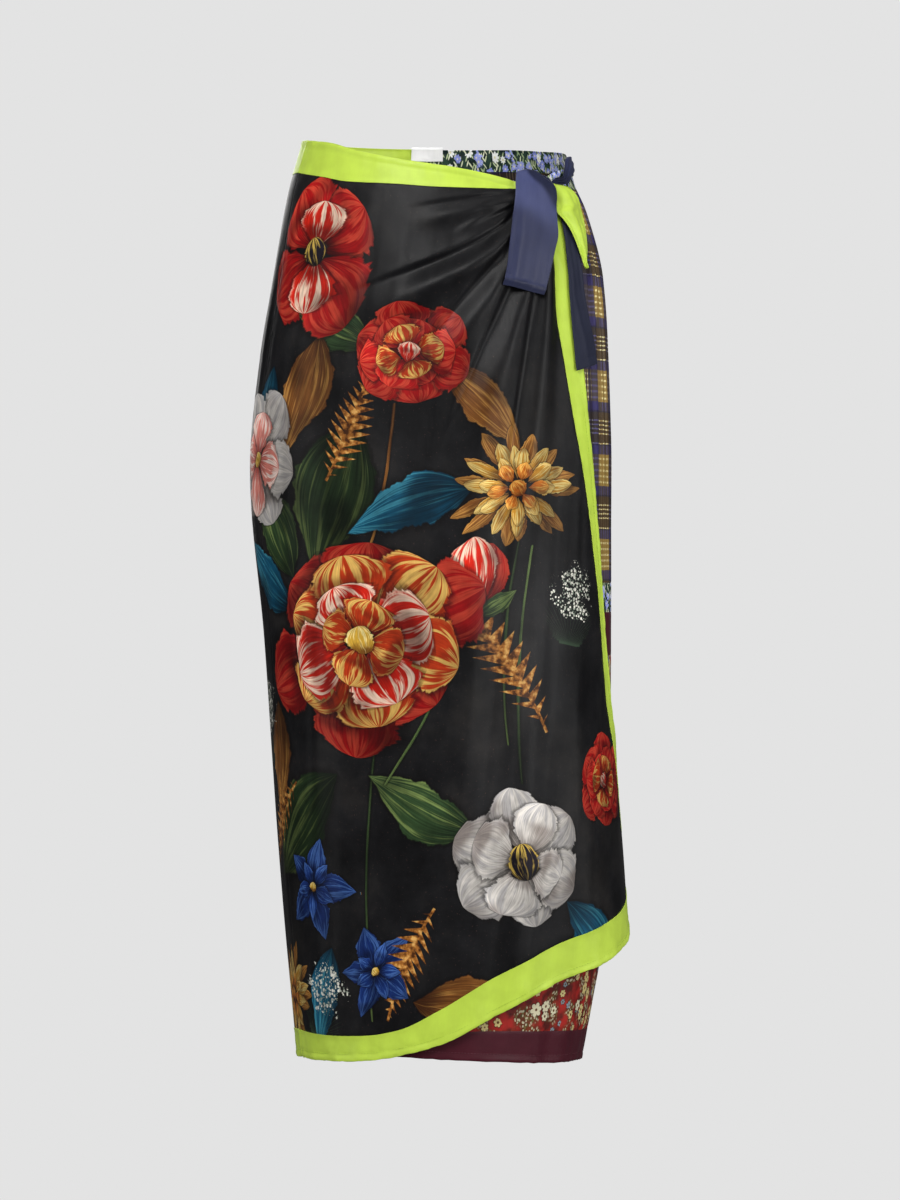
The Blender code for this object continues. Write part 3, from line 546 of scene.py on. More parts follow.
def shell(name, points, normals, wall, uv, layers, free, shading=None):
    """A closed thin shell on a grid of outer points, with its free rims rounded."""
    rows, cols = points.shape[:2]
    inner = points - normals * wall
    count = rows * cols
    index = np.arange(count).reshape(rows, cols)
    ring = np.concatenate([index[0, :-1], index[:-1, -1], index[-1, :0:-1], index[:0:-1, 0]])
    flat_out, flat_in = points.reshape(-1, 3), inner.reshape(-1, 3)
    towards = np.zeros_like(points)
    towards[0] += points[0] - points[1]
    towards[-1] += points[-1] - points[-2]
    towards[:, 0] += points[:, 0] - points[:, 1]
    towards[:, -1] += points[:, -1] - points[:, -2]
    towards = unit(towards.reshape(-1, 3)[ring])
    sides = (("top", cols - 1), ("right", rows - 1), ("bottom", cols - 1), ("left", rows - 1))
    rounds = np.concatenate([np.full(many, RIM_ROUND if side in free else 0.0) for side, many in sides])
    middle = (flat_out[ring] + flat_in[ring]) / 2.0 + towards * (rounds[:, None] * wall)
    a, b = index[:-1, :-1].ravel(), index[:-1, 1:].ravel()
    c, d = index[1:, 1:].ravel(), index[1:, :-1].ravel()
    after = np.roll(ring, -1)
    mids = 2 * count + np.arange(len(ring))
    mids_after = np.roll(mids, -1)
    halves = np.concatenate([np.stack([a, d, b], -1), np.stack([b, d, c], -1)])
    rim = [(ring, after, mids_after), (ring, mids_after, mids)]
    rim += [(mids, mids_after, after + count), (mids, after + count, ring + count)]
    faces = [halves, halves[:, ::-1] + count] + [np.stack(corners, -1) for corners in rim]
    verts = np.concatenate([flat_out, flat_in, middle])
    mesh = mesh_from(name, verts.tolist(), np.concatenate(faces).tolist())

    def every(values):
        flat = values.reshape(count, -1)
        return np.concatenate([flat, flat, flat[ring]]).astype(np.float32)

    put_uv(mesh, every(uv))
    for key, values in layers.items():
        made = mesh.attributes.new(key, "FLOAT_COLOR", "POINT")
        made.data.foreach_set("color", every(values).ravel())
    shade = (surface_normals(points) if shading is None else shading).reshape(-1, 3)
    mesh.normals_split_custom_set_from_vertices(np.concatenate([shade, -shade, towards]))
    return link(name, mesh)


# ---------------------------------------------------------------- the floral print
Form = namedtuple("Form", "power sharp height")
FORMS = {
    "rose": Form(1.45, 0.6, 1.0),
    "leaf": Form(0.85, 1.1, 1.0),
    "ray": Form(1.3, 0.75, 1.0),
    "disc": Form(1.0, 0.5, 1.0),
    "stem": Form(1.0, 0.1, 0.16),
}
SHAPES = tuple(FORMS)
# Petal colours as display levels: body, streak, dark base
PETAL_COLOURS = {
    "coral": ((216, 36, 18), (250, 216, 190), (96, 8, 6)),
    "crimson": ((190, 20, 22), (218, 70, 50), (64, 4, 8)),
    "white": ((236, 230, 222), (198, 194, 192), (120, 104, 96)),
    "gold": ((214, 152, 48), (246, 222, 140), (98, 48, 12)),
    "cobalt": ((30, 62, 138), (84, 128, 206), (10, 16, 48)),
    "teal": ((16, 92, 124), (62, 146, 170), (6, 30, 44)),
    "bronze": ((142, 88, 38), (202, 146, 72), (58, 30, 14)),
    "olive": ((52, 76, 44), (112, 132, 74), (18, 28, 20)),
    "blush": ((232, 138, 124), (250, 226, 214), (150, 44, 40)),
    "amber": ((216, 118, 34), (246, 190, 92), (110, 44, 14)),
    "stamen": ((226, 178, 62), (250, 228, 150), (120, 70, 20)),
    "heart": ((34, 26, 40), (232, 196, 92), (16, 12, 20)),
    "flame": ((204, 62, 22), (244, 196, 104), (92, 22, 8)),
}
PALETTES = tuple(PETAL_COLOURS)
PRINT_LAYERS = 16
RASTER_STEP = 0.002
RASTER_LOW = (-0.5, 0.0)
RASTER_SIZE = (432, 470)
PRINT_MARGIN = 2

Motif = namedtuple("Motif", "shape x y angle length width bend palette light seed")
Ring = namedtuple("Ring", "count start length width phase palette light shape")
# Each flower's rings of petals, the outer ring first
FLOWER_RINGS = {
    "camellia": (
        (6, 0.3, 0.7, 0.42, 8, "crimson", 0.58, "rose"),
        (6, 0.17, 0.64, 0.38, 38, "flame", 0.8, "rose"),
        (4, 0.1, 0.52, 0.34, 12, "coral", 0.92, "rose"),
        (4, 0.06, 0.34, 0.22, 55, "flame", 0.8, "rose"),
        (1, -0.13, 0.26, 0.12, 90, "stamen", 0.95, "disc"),
    ),
    "anemone": (
        (6, 0.14, 0.86, 0.42, 20, "white", 0.66, "rose"),
        (4, 0.1, 0.66, 0.38, 60, "white", 0.92, "rose"),
        (1, -0.24, 0.48, 0.24, 90, "heart", 0.85, "disc"),
    ),
    "mum": (
        (14, 0.24, 0.78, 0.11, 5, "bronze", 0.72, "ray"),
        (12, 0.16, 0.66, 0.11, 17, "gold", 0.7, "ray"),
        (8, 0.15, 0.48, 0.11, 0, "gold", 0.9, "ray"),
        (6, 0.12, 0.32, 0.11, 25, "amber", 0.92, "ray"),
        (1, -0.15, 0.3, 0.12, 90, "amber", 0.7, "disc"),
    ),
    "rosette": (
        (6, 0.28, 0.7, 0.46, 25, "crimson", 0.62, "rose"),
        (6, 0.12, 0.6, 0.4, 60, "crimson", 0.8, "rose"),
        (4, 0.14, 0.4, 0.31, 10, "flame", 0.74, "rose"),
        (1, -0.16, 0.36, 0.22, 70, "coral", 0.7, "rose"),
    ),
    "star": (
        (5, 0.1, 0.9, 0.3, 0, "cobalt", 0.55, "leaf"),
        (5, 0.08, 0.52, 0.17, 36, "cobalt", 0.75, "leaf"),
        (1, -0.1, 0.2, 0.1, 90, "stamen", 0.85, "disc"),
    ),
    "poppy": (
        (4, 0.1, 0.9, 0.6, 20, "crimson", 0.8, "rose"),
        (2, 0.06, 0.68, 0.5, 70, "coral", 0.9, "rose"),
        (1, -0.2, 0.4, 0.2, 90, "heart", 0.85, "disc"),
    ),
    "cream": (
        (6, 0.12, 0.88, 0.44, 18, "white", 0.6, "rose"),
        (4, 0.05, 0.62, 0.36, 55, "blush", 0.9, "rose"),
        (1, -0.12, 0.24, 0.12, 90, "stamen", 0.8, "disc"),
    ),
}
FLOWERS = {name: rows_of(Ring, *rings) for name, rings in FLOWER_RINGS.items()}
Bloom = namedtuple("Bloom", "kind turn drop radius squash lean spin")
BLOOMS = rows_of(
    Bloom,
    ("camellia", -24.0, 0.5, 0.122, 0.84, 25.0, 10.0),
    ("poppy", -46.0, 0.12, 0.086, 0.86, -30.0, 20.0),
    ("rosette", -8.0, 0.222, 0.06, 0.84, 20.0, 10.0),
    ("anemone", 29.0, 0.716, 0.08, 0.8, 60.0, 15.0),
    ("mum", 27.0, 0.352, 0.07, 0.8, 10.0, 40.0),
    ("star", -49.0, 0.742, 0.056, 0.92, 20.0, 5.0),
    ("star", -22.0, 0.822, 0.05, 0.85, 70.0, 40.0),
    ("cream", -70.0, 0.322, 0.078, 0.8, 80.0, 30.0),
    ("mum", -74.0, 0.852, 0.06, 0.85, 10.0, 30.0),
    ("anemone", -112.0, 0.18, 0.088, 0.85, 20.0, 50.0),
    ("camellia", -124.0, 0.64, 0.108, 0.85, -20.0, 30.0),
    ("star", -98.0, 0.44, 0.048, 0.9, 30.0, 0.0),
    ("mum", -148.0, 0.4, 0.07, 0.86, 60.0, 12.0),
    ("rosette", -156.0, 0.16, 0.062, 0.84, 10.0, 60.0),
    ("cream", -152.0, 0.82, 0.06, 0.82, 10.0, 20.0),
    ("rosette", 68.0, 0.64, 0.054, 0.84, 30.0, 60.0),
)
# Leaves, stems and a bud behind the flowers: base, direction in degrees, length, half width, bend
Leaf = namedtuple("Leaf", "shape turn drop angle length width bend palette light")
LEAVES = rows_of(
    Leaf,
    ("leaf", -24.0, 0.29, 245.0, 0.16, 0.046, 0.14, "olive", 0.45),
    ("leaf", -34.0, 0.63, 215.0, 0.16, 0.046, 0.14, "olive", 0.4),
    ("stem", -20.0, 0.6, 262.0, 0.27, 0.012, 0.1, "olive", 0.9),
    ("stem", 28.0, 0.64, 96.0, 0.23, 0.012, -0.16, "olive", 0.8),
    ("stem", -12.0, 0.27, 268.0, 0.15, 0.012, -0.14, "bronze", 0.8),
    ("stem", 27.0, 0.4, 258.0, 0.2, 0.012, 0.16, "olive", 0.8),
    ("leaf", 12.0, 0.352, 190.0, 0.12, 0.03, 0.18, "teal", 0.75),
    ("leaf", 2.0, 0.232, 322.0, 0.11, 0.026, -0.16, "bronze", 0.85),
    ("leaf", -20.0, 0.214, 150.0, 0.1, 0.026, 0.16, "olive", 0.9),
    ("leaf", 14.0, 0.688, 160.0, 0.12, 0.03, -0.14, "olive", 0.9),
    ("leaf", -50.0, 0.44, 108.0, 0.12, 0.03, 0.16, "olive", 0.85),
    ("leaf", -52.0, 0.47, 152.0, 0.11, 0.028, -0.18, "teal", 0.75),
    ("leaf", 46.0, 0.756, 322.0, 0.12, 0.028, -0.16, "teal", 0.75),
    ("leaf", -40.0, 0.2, 262.0, 0.13, 0.032, -0.16, "bronze", 0.9),
    ("leaf", -62.0, 0.23, 256.0, 0.1, 0.028, 0.16, "teal", 0.75),
    ("leaf", -40.0, 0.8, 246.0, 0.11, 0.028, 0.14, "teal", 0.85),
    ("leaf", -8.0, 0.85, 350.0, 0.12, 0.03, 0.16, "bronze", 0.85),
    ("leaf", -66.0, 0.56, 268.0, 0.12, 0.03, -0.14, "bronze", 0.85),
    ("leaf", -92.0, 0.52, 200.0, 0.13, 0.032, 0.14, "teal", 0.85),
    ("leaf", -104.0, 0.3, 280.0, 0.13, 0.032, 0.14, "olive", 0.95),
    ("leaf", -140.0, 0.52, 60.0, 0.14, 0.034, -0.14, "teal", 0.85),
    ("leaf", -134.0, 0.26, 150.0, 0.12, 0.03, 0.12, "bronze", 0.85),
    ("leaf", -132.0, 0.76, 300.0, 0.12, 0.03, 0.14, "olive", 0.95),
    ("leaf", -164.0, 0.64, 250.0, 0.12, 0.03, 0.14, "teal", 0.85),
    ("stem", -118.0, 0.26, 265.0, 0.26, 0.012, 0.12, "olive", 0.95),
    ("stem", -130.0, 0.72, 280.0, 0.15, 0.012, 0.12, "bronze", 0.95),
    ("rose", 12.0, 0.47, 66.0, 0.066, 0.025, 0.12, "crimson", 0.75),
    ("rose", 14.0, 0.47, 100.0, 0.07, 0.023, -0.1, "coral", 0.95),
    ("leaf", 13.0, 0.476, 24.0, 0.046, 0.012, 0.16, "olive", 0.95),
    ("leaf", 13.0, 0.476, 142.0, 0.046, 0.012, -0.16, "olive", 0.9),
    ("stem", 13.0, 0.47, 250.0, 0.19, 0.012, -0.12, "olive", 0.95),
)
# Fine sprigs: ferns with many leaflets, and sprays of tiny white blossoms
SPRIGS = rows_of(
    Leaf,
    ("leaf", 37.0, 0.59, 116.0, 0.17, 0.026, 0.16, "fern", 0.9),
    ("leaf", 0.0, 0.76, 236.0, 0.12, 0.022, 0.16, "fern", 0.8),
    ("leaf", -34.0, 0.345, 62.0, 0.11, 0.022, 0.14, "fern", 0.9),
    ("leaf", -56.0, 0.64, 215.0, 0.12, 0.022, 0.14, "fern", 0.8),
    ("disc", 46.0, 0.505, 80.0, 0.085, 0.032, 0.0, "spray", 0.9),
    ("disc", -52.0, 0.89, 66.0, 0.085, 0.034, 0.0, "spray", 0.9),
    ("disc", -84.0, 0.62, 80.0, 0.09, 0.036, 0.0, "spray", 0.9),
    ("leaf", -110.0, 0.86, 60.0, 0.13, 0.024, 0.14, "fern", 0.8),
    ("leaf", -160.0, 0.6, 100.0, 0.15, 0.024, -0.14, "fern", 0.9),
)


def print_place(turn, drop):
    """Where a place on the cloth lies on the flat print, in metres."""
    return turn * radians(1.0) * PRINT_RADIUS, -np.asarray(drop, float)


def local(motif, x, y):
    """A place seen from a petal: its share of the way to the tip, and its share to the side."""
    c, s = cos(radians(motif.angle)), sin(radians(motif.angle))
    dx, dy = x - motif.x, y - motif.y
    along = (dx * c + dy * s) / motif.length
    side = (dy * c - dx * s) - motif.bend * motif.length * along**2
    return along, side / motif.width


def leaf_motif(leaf, palette, seed):
    return Motif(SHAPES.index(leaf.shape), *print_place(leaf.turn, leaf.drop), *leaf[3:7], palette,
                 leaf.light, seed)


def bloom_motifs(bloom, seed):
    """The petals of one flower, the outer ring first, and each ring's even petals before its odd."""
    x, y = print_place(bloom.turn, bloom.drop)
    made = []
    for ring in FLOWERS[bloom.kind]:
        for k in (*range(0, ring.count, 2), *range(1, ring.count, 2)):
            seed += 1
            wobble = sin(12.9898 * seed) * 0.5
            angle = radians(ring.phase + bloom.spin + 360.0 * k / ring.count + 9.0 * wobble)
            flat = 1.0 - (1.0 - bloom.squash) * abs(sin(angle - radians(bloom.lean)))
            size = bloom.radius * flat * (1.0 + 0.1 * sin(78.233 * seed))
            width = bloom.radius * ring.width * (1.0 + 0.1 * sin(39.425 * seed))
            made.append(Motif(
                SHAPES.index(ring.shape),
                x + cos(angle) * ring.start * size, y + sin(angle) * ring.start * size,
                angle * 180.0 / pi, ring.length * size, width,
                0.0 if ring.shape == "disc" else 0.14 * wobble, PALETTES.index(ring.palette),
                ring.light * (1.0 + 0.1 * sin(23.1 * seed)), (angle / (2.0 * pi)) % 1.0,
            ))
    return made


def print_motifs():
    made = [leaf_motif(leaf, PALETTES.index(leaf.palette), leaf.angle / 360.0 % 1.0) for leaf in LEAVES]
    for bloom in BLOOMS:
        made += bloom_motifs(bloom, len(made))
    return made


def sprig_motifs():
    kinds = ("fern", "spray")
    return [
        leaf_motif(leaf, kinds.index(leaf.palette), (k * 0.61803 + 0.3) % 1.0)
        for k, leaf in enumerate(SPRIGS)
    ]


def spread(mask):
    """The mask grown by a disc as wide as the print's margin."""
    reach = range(-PRINT_MARGIN, PRINT_MARGIN + 1)
    mask = np.pad(mask, PRINT_MARGIN)
    grown = mask.copy()
    for i in reach:
        for j in reach:
            if i * i + j * j <= PRINT_MARGIN**2 + 1:
                grown |= np.roll(mask, (i, j), (0, 1))
    return grown[PRINT_MARGIN:-PRINT_MARGIN, PRINT_MARGIN:-PRINT_MARGIN]


def stack_layers(motifs, count):
    """Puts the petals on as few layers as will hold them, each above those that it covers."""
    x, y = np.meshgrid(
        RASTER_LOW[0] + RASTER_STEP * np.arange(RASTER_SIZE[0]),
        RASTER_LOW[1] - RASTER_STEP * np.arange(RASTER_SIZE[1]),
    )
    top = np.full(x.shape, -1)
    owner = [np.full(x.shape, -1) for _ in range(count)]
    layers = [[] for _ in range(count)]
    for motif in motifs:
        reach = motif.length + motif.width + 0.02
        near = (np.abs(x - motif.x) < reach) & (np.abs(y - motif.y) < reach)
        if not near.any():
            continue
        rows, cols = np.where(near.any(1))[0], np.where(near.any(0))[0]
        part = (slice(rows[0], rows[-1] + 1), slice(cols[0], cols[-1] + 1))
        along, side = local(motif, x[part], y[part])
        form = FORMS[SHAPES[motif.shape]]
        half = form.height * np.sin(pi * np.clip(along, 0.0, 1.0) ** form.power) ** form.sharp
        seen = (along > 0) & (along < 1) & (np.abs(side) < np.maximum(half, 0.12))
        if not seen.any():
            continue
        grown = spread(seen)
        lowest = int(top[part][seen].max()) + 1
        free = next(k for k in range(lowest, count) if not (owner[k][part][grown] >= 0).any())
        owner[free][part][grown] = len(layers[free])
        layers[free].append(motif)
        top[part][seen] = free
    return list(zip(layers, owner))


def layer_values(motifs, owner, turn, drop):
    """What each point of a cloth carries for one layer: along, side, palette and light."""
    x, y = print_place(turn, drop)
    values = np.empty(x.shape + (4,))
    values[...] = (-1.0, 9.0, 0.0, -1000.0)
    spots = ((RASTER_LOW[1] - y) / RASTER_STEP, (x - RASTER_LOW[0]) / RASTER_STEP)
    row, col = (
        np.clip(np.rint(spot).astype(int), 0, size - 1) for spot, size in zip(spots, RASTER_SIZE[::-1])
    )
    mine = owner[row, col]
    for index, motif in enumerate(motifs):
        here = mine == index
        if here.any():
            values[here, 0], values[here, 1] = local(motif, x[here], y[here])
            values[here, 2] = motif.palette + 0.1 + 0.8 * motif.seed
            values[here, 3] = motif.shape + min(max(motif.light, 0.05), 0.95)
    return values


# ---------------------------------------------------------------- material graphs
class Value:
    """A node's output. Arithmetic with it makes math nodes."""

    def __init__(self, graph, socket):
        self.graph, self.socket = graph, socket

    def __abs__(self):
        return self.graph.absolute(self)

    def __add__(self, other):
        return self.graph.add(self, other)

    def __sub__(self, other):
        return self.graph.subtract(self, other)

    def __rsub__(self, other):
        return self.graph.subtract(other, self)

    def __mul__(self, other):
        return self.graph.multiply(self, other)

    def __truediv__(self, other):
        return self.graph.divide(self, other)

    def __pow__(self, other):
        return self.graph.power(self, other)

    def __gt__(self, other):
        return self.graph.greater_than(self, other)

    def __lt__(self, other):
        return self.graph.less_than(self, other)


class Graph:
    """Makes nodes in a tree. An input may be a number, a colour or a Value. A method that isn't
    here, such as floor or multiply_add, makes the math node of that name."""

    def __init__(self, tree):
        self.tree = tree

    def __getattr__(self, name):
        return lambda *values: self.node("Math", values, operation=name.upper())

    def put(self, socket, value):
        if isinstance(value, Value):
            self.tree.links.new(value.socket, socket)
        elif isinstance(value, tuple) and len(value) == 3 and socket.type == "RGBA":
            socket.default_value = (*value, 1.0)
        else:
            socket.default_value = value

    def node(self, kind, inputs=(), output=0, **settings):
        """One output of a new node, whose inputs come by place or by name."""
        made = self.tree.nodes.new(kind if kind.startswith("Node") else "ShaderNode" + kind)
        for key, value in settings.items():
            setattr(made, key, value)
        for key, value in inputs.items() if isinstance(inputs, dict) else enumerate(inputs):
            self.put(made.inputs[key], value)
        if output is None:
            return [Value(self, socket) for socket in made.outputs]
        return Value(self, made.outputs[output]) if len(made.outputs) else made

    def vectors(self, operation, *values):
        return self.node("VectorMath", values, operation=operation)

    def mix(self, share, a, b, blend="MIX"):
        return self.node("Mix", {0: share, 6: a, 7: b}, 2, data_type="RGBA", blend_type=blend)

    def shaded(self, colour, level):
        return self.mix(1.0, colour, self.node("CombineXYZ", (level, level, level)), "MULTIPLY")

    def ramp(self, share, stops, mode="LINEAR"):
        made = self.node("ValToRGB", (share,))
        ramp = made.socket.node.color_ramp
        ramp.interpolation = mode
        while len(ramp.elements) < len(stops):
            ramp.elements.new(0.5)
        for element, (position, colour) in zip(ramp.elements, stops):
            element.position = position
            element.color = (*colour, 1.0)
        return made

    def tones(self, share, *stops):
        """A ramp whose stops give a position and three display levels."""
        return self.ramp(share, [(position, srgb(*levels)) for position, *levels in stops])

    def steps(self, share, colours):
        return self.ramp(share, [(k / len(colours), c) for k, c in enumerate(colours)], "CONSTANT")

    def range(self, value, low, high, to_low=0.0, to_high=1.0, mode="SMOOTHSTEP"):
        given = (value, low, high, to_low, to_high)
        return self.node("MapRange", given, interpolation_type=mode)

    def linear(self, *given):
        return self.range(*given, mode="LINEAR")

    def split(self, vector):
        return self.node("SeparateXYZ", (vector,), None)

    def channels(self, colour):
        return self.node("SeparateColor", (colour,), None)

    def noise(self, vector, scale, detail=2.0, rough=0.5):
        given = {"Vector": vector, "Scale": scale, "Detail": detail, "Roughness": rough}
        return self.node("TexNoise", given, noise_dimensions="2D")

    def streaks(self, along, across, detail=2.0, rough=0.5):
        return self.noise(self.node("CombineXYZ", (along, across)), 1.0, detail, rough)

    def cells(self, vector, scale, randomness=1.0):
        """A random pattern's cells: distance to the middle, colour and the middle's place."""
        given = {"Vector": vector, "Scale": scale, "Randomness": randomness}
        return self.node("TexVoronoi", given, None, voronoi_dimensions="2D", feature="F1")[:3]

    def layer(self, name):
        """A print layer's colour and alpha, as the cloth carries them."""
        colour, _, _, alpha = self.node("Attribute", output=None, attribute_name=name)
        return colour, alpha


def srgb(*levels):
    """Linear values for display levels from 0 to 255."""
    shares = [level / 255.0 for level in levels]
    return tuple(v / 12.92 if v <= 0.04045 else ((v + 0.055) / 1.055) ** 2.4 for v in shares)


def after(g, under, layer, light):
    """A layer's values, worked out only once what is under it is known, which keeps the graph small."""
    high = g.vectors("ADD", under, (1000.0, 1000.0, 1000.0))
    return g.vectors("MINIMUM", layer, high), g.minimum(light, g.split(high)[0])


def petal_group():
    """Paints one layer of petals over what is under it."""
    tree = bpy.data.node_groups.new("petals", "ShaderNodeTree")
    for name, kind in (("Under", "Color"), ("Layer", "Color"), ("Light", "Float")):
        tree.interface.new_socket(name, in_out="INPUT", socket_type="NodeSocket" + kind)
    tree.interface.new_socket("Color", in_out="OUTPUT", socket_type="NodeSocketColor")
    g = Graph(tree)
    under, layer, lit = g.node("NodeGroupInput", output=None)[:3]
    layer, lit = after(g, under, layer, lit)
    along, side, code = g.split(layer)
    palette = (g.floor(code) + 0.5) / float(len(PALETTES))
    seed, form, light = g.fract(code), g.floor(lit), g.fract(lit)
    halves = [(f.power / 2.0, f.sharp / 2.0, f.height) for f in FORMS.values()]
    power, sharp, tall = g.channels(g.steps((form + 0.5) / float(len(FORMS)), halves))
    wave = g.sine(g.minimum(g.maximum(along, 0.0), 1.0) ** (power * 2.0) * pi)
    height = g.maximum(wave, 0.0) ** (sharp * 2.0) * tall
    shift = g.multiply_add(seed, 57.0, palette * 31.0)
    bend = g.streaks(g.multiply_add(along, 1.7, shift), side * 0.6, 1.0)
    warped = side + g.linear(bend, 0.25, 0.75, -0.13, 0.13)
    ragged = g.streaks(g.multiply_add(along, 7.0, shift), g.sign(side), 3.0, 0.6)
    lengthwise = side / g.maximum(height, 0.05)
    height = height * g.linear(ragged, 0.3, 0.72, 0.78, 1.0)
    depth = height - abs(warped)
    drawn = (along > 0.0) * (along < 1.0) * (lit > 0.0)
    inside = g.range(depth, 0.0, 0.06) * drawn
    cast = g.range(depth, -0.2, 0.02, 0.0, 0.62) * drawn
    across = warped / g.maximum(height, 0.03)
    streak = g.streaks(g.multiply_add(lengthwise, 4.6, shift), along * 1.1, 3.0, 0.6)
    fine = g.streaks(lengthwise * 19.0, g.multiply_add(along, 2.6, shift))
    body, pale, dark = (
        g.steps(palette, [srgb(*colours[k]) for colours in PETAL_COLOURS.values()]) for k in range(3)
    )
    flame = g.multiply_add(fine, 0.26, streak) + g.range(along, 0.2, 1.0, -0.06, 0.08)
    colour = g.mix(g.range(flame, 0.63, 0.75), body, pale)
    colour = g.mix(g.range(bend, 0.46, 0.74, 0.0, 0.72), colour, dark)
    base = g.range(g.multiply_add(fine, 0.3, along), 0.12, 0.66, 1.0, 0.0)
    colour = g.mix(base * 0.9, colour, dark)
    rim = abs(across)
    vein = g.range(rim, 0.02, 0.07, 0.45, 0.0)
    colour = g.mix(vein * g.range(form, 0.9, 1.1), colour, pale)
    facing = g.multiply_add(seed, 2.0 * pi, -0.75 * pi)
    sideways = g.sine(facing) * across
    outward = g.cosine(facing) * (along - 0.35)
    turned = g.multiply_add(outward, 0.34, g.multiply_add(sideways, -0.3, 0.94))
    lip = g.range(rim, 0.8, 0.97) * g.range(sideways, -0.9, 0.4, 0.55, 0.0)
    colour = g.mix(lip * g.range(along, 0.3, 0.6), colour, pale)
    colour = g.shaded(colour, light * turned * g.linear(fine, 0.25, 0.75, 0.72, 1.24))
    g.node("NodeGroupOutput", (g.mix(inside, g.mix(cast, under, (0.004, 0.003, 0.003)), colour),))
    return tree


def sprig_paint(g, under, layer, light, uv):
    """Fern leaflets and sprays of tiny blossoms over what is under them."""
    layer, light = after(g, under, layer, light)
    along, side, code = g.split(layer)
    away = abs(side)
    valid = (light > 0.0) * (along > 0.0) * (along < 1.0)
    taper = g.maximum(g.sine(along * pi), 0.0) ** 0.8
    beat = g.fract(g.multiply_add(along, 13.0, g.sign(side) * 0.25) + away * -1.3)
    leaflet = g.range((taper - away) * 0.62 - abs(beat - 0.5), 0.0, 0.06)
    fern = g.maximum(leaflet, g.range(away, 0.045, 0.075, 1.0, 0.0))
    browns = g.tones(g.noise(uv, 160.0), (0.35, 74, 40, 16), (0.55, 168, 106, 44), (0.72, 222, 172, 96))
    is_fern = g.floor(code) < 0.5
    painted = g.mix(fern * valid * is_fern, under, browns)
    fan = side / g.maximum(along, 0.08)
    ray = abs(g.fract(g.multiply_add(fan, 2.1, 0.5)) - 0.5)
    ray = g.range(ray * along, 0.006, 0.014, 0.7, 0.0)
    ray = ray * g.range(along + away * 0.4, 0.6, 0.85, 1.0, 0.0)
    is_spray = (1.0 - is_fern) * valid
    painted = g.mix(ray * is_spray, painted, srgb(58, 78, 58))
    thick = (1.0 - away**2.0) - (abs(along - 0.62) * 2.7) ** 2.0
    thick = thick + g.linear(g.noise(uv, 60.0), 0.3, 0.7, -0.55, 0.45)
    for scale, seed in ((230.0, 0.0), (330.0, 4.3)):
        distance, cell, _ = g.cells(g.vectors("ADD", uv, (seed, seed, 0.0)), scale)
        picked = g.channels(cell)[0]
        reach = g.range(thick, 0.0, 0.8, 0.0, 0.36) * (picked + 0.35)
        tone = g.tones(picked, (0.3, 120, 138, 120), (0.6, 186, 190, 176), (0.9, 236, 234, 222))
        painted = g.mix(g.range(reach - distance, 0.0, 0.08) * is_spray, painted, tone)
    return painted


def cloth_material(name, paint, rough=0.42, sheen=0.04, weave=0.00045, tint=0.06, gloss=0.3):
    """Woven cloth: faint colour variation, a twill weave and long slubs in the yarn."""
    made = bpy.data.materials.new(name)
    made.use_nodes = True
    made.node_tree.nodes.clear()
    g = Graph(made.node_tree)
    uv = g.node("UVMap", uv_map="cloth")
    colour = paint(g, uv)
    slub = g.noise(g.vectors("MULTIPLY", uv, (900.0, 60.0, 1.0)), 1.0)
    cloudy = g.multiply_add(slub, 0.5, g.noise(uv, 26.0, 3.0, 0.6) * 0.5)
    varied = g.shaded(colour, g.linear(cloudy, 0.3, 0.7, 1.0 - tint, 1.0 + tint))
    bands = g.node("TexWave", {"Vector": uv, "Scale": 0.314 / weave, "Distortion": 0.0}, 1,
                   wave_type="BANDS", bands_direction="DIAGONAL")
    height = g.multiply_add(slub, 0.6, bands * 0.4)
    raised = g.node("Bump", {"Strength": 0.25, "Distance": 0.00012, "Height": height})
    shader = g.node("BsdfPrincipled", {
        "Base Color": varied, "Roughness": g.linear(slub, 0.2, 0.8, rough - 0.05, rough + 0.06),
        "Sheen Weight": sheen, "Sheen Roughness": 0.35, "Specular IOR Level": gloss, "Normal": raised,
    })
    g.node("OutputMaterial", {"Surface": shader}).is_active_output = True
    return made


def black_print(g, uv):
    ground = g.tones(g.noise(uv, 9.0, 5.0, 0.62), (0.33, 13, 13, 15), (0.52, 24, 24, 26), (0.74, 40, 38, 37))
    speck = g.noise(uv, 420.0, 2.0, 0.7)
    colour = g.mix(g.range(speck, 0.68, 0.8, 0.0, 0.5), ground, srgb(86, 66, 58))
    group = petal_group()
    for layer in range(PRINT_LAYERS):
        colour = g.node("Group", (colour, *g.layer("print_%02d" % layer)), node_tree=group)
        if layer == 1:
            colour = sprig_paint(g, colour, *g.layer("sprigs"), uv)
    return g.shaded(colour, g.linear(g.noise(uv, 13.0, 4.0, 0.62), 0.32, 0.66, 0.58, 1.08))


def plain(*levels):
    """One colour, a little cloudy, darker where a piece carries painted shade."""
    colour = srgb(*levels)

    def paint(g, uv):
        light = tuple(min(1.0, 1.05 * c) for c in colour)
        shade = g.ramp(g.noise(uv, 40.0, 3.0), [(0.3, tuple(0.93 * c for c in colour)), (0.7, light)])
        # painted shade: the attribute read here darkens the colour, down to 0.3 of it, where the piece
        # carries painted shade
        painted_shade = g.node("Attribute", output="Fac", attribute_name="painted_shade")
        return g.shaded(shade, g.linear(painted_shade, 0.0, 1.0, 1.0, 0.3))

    return paint


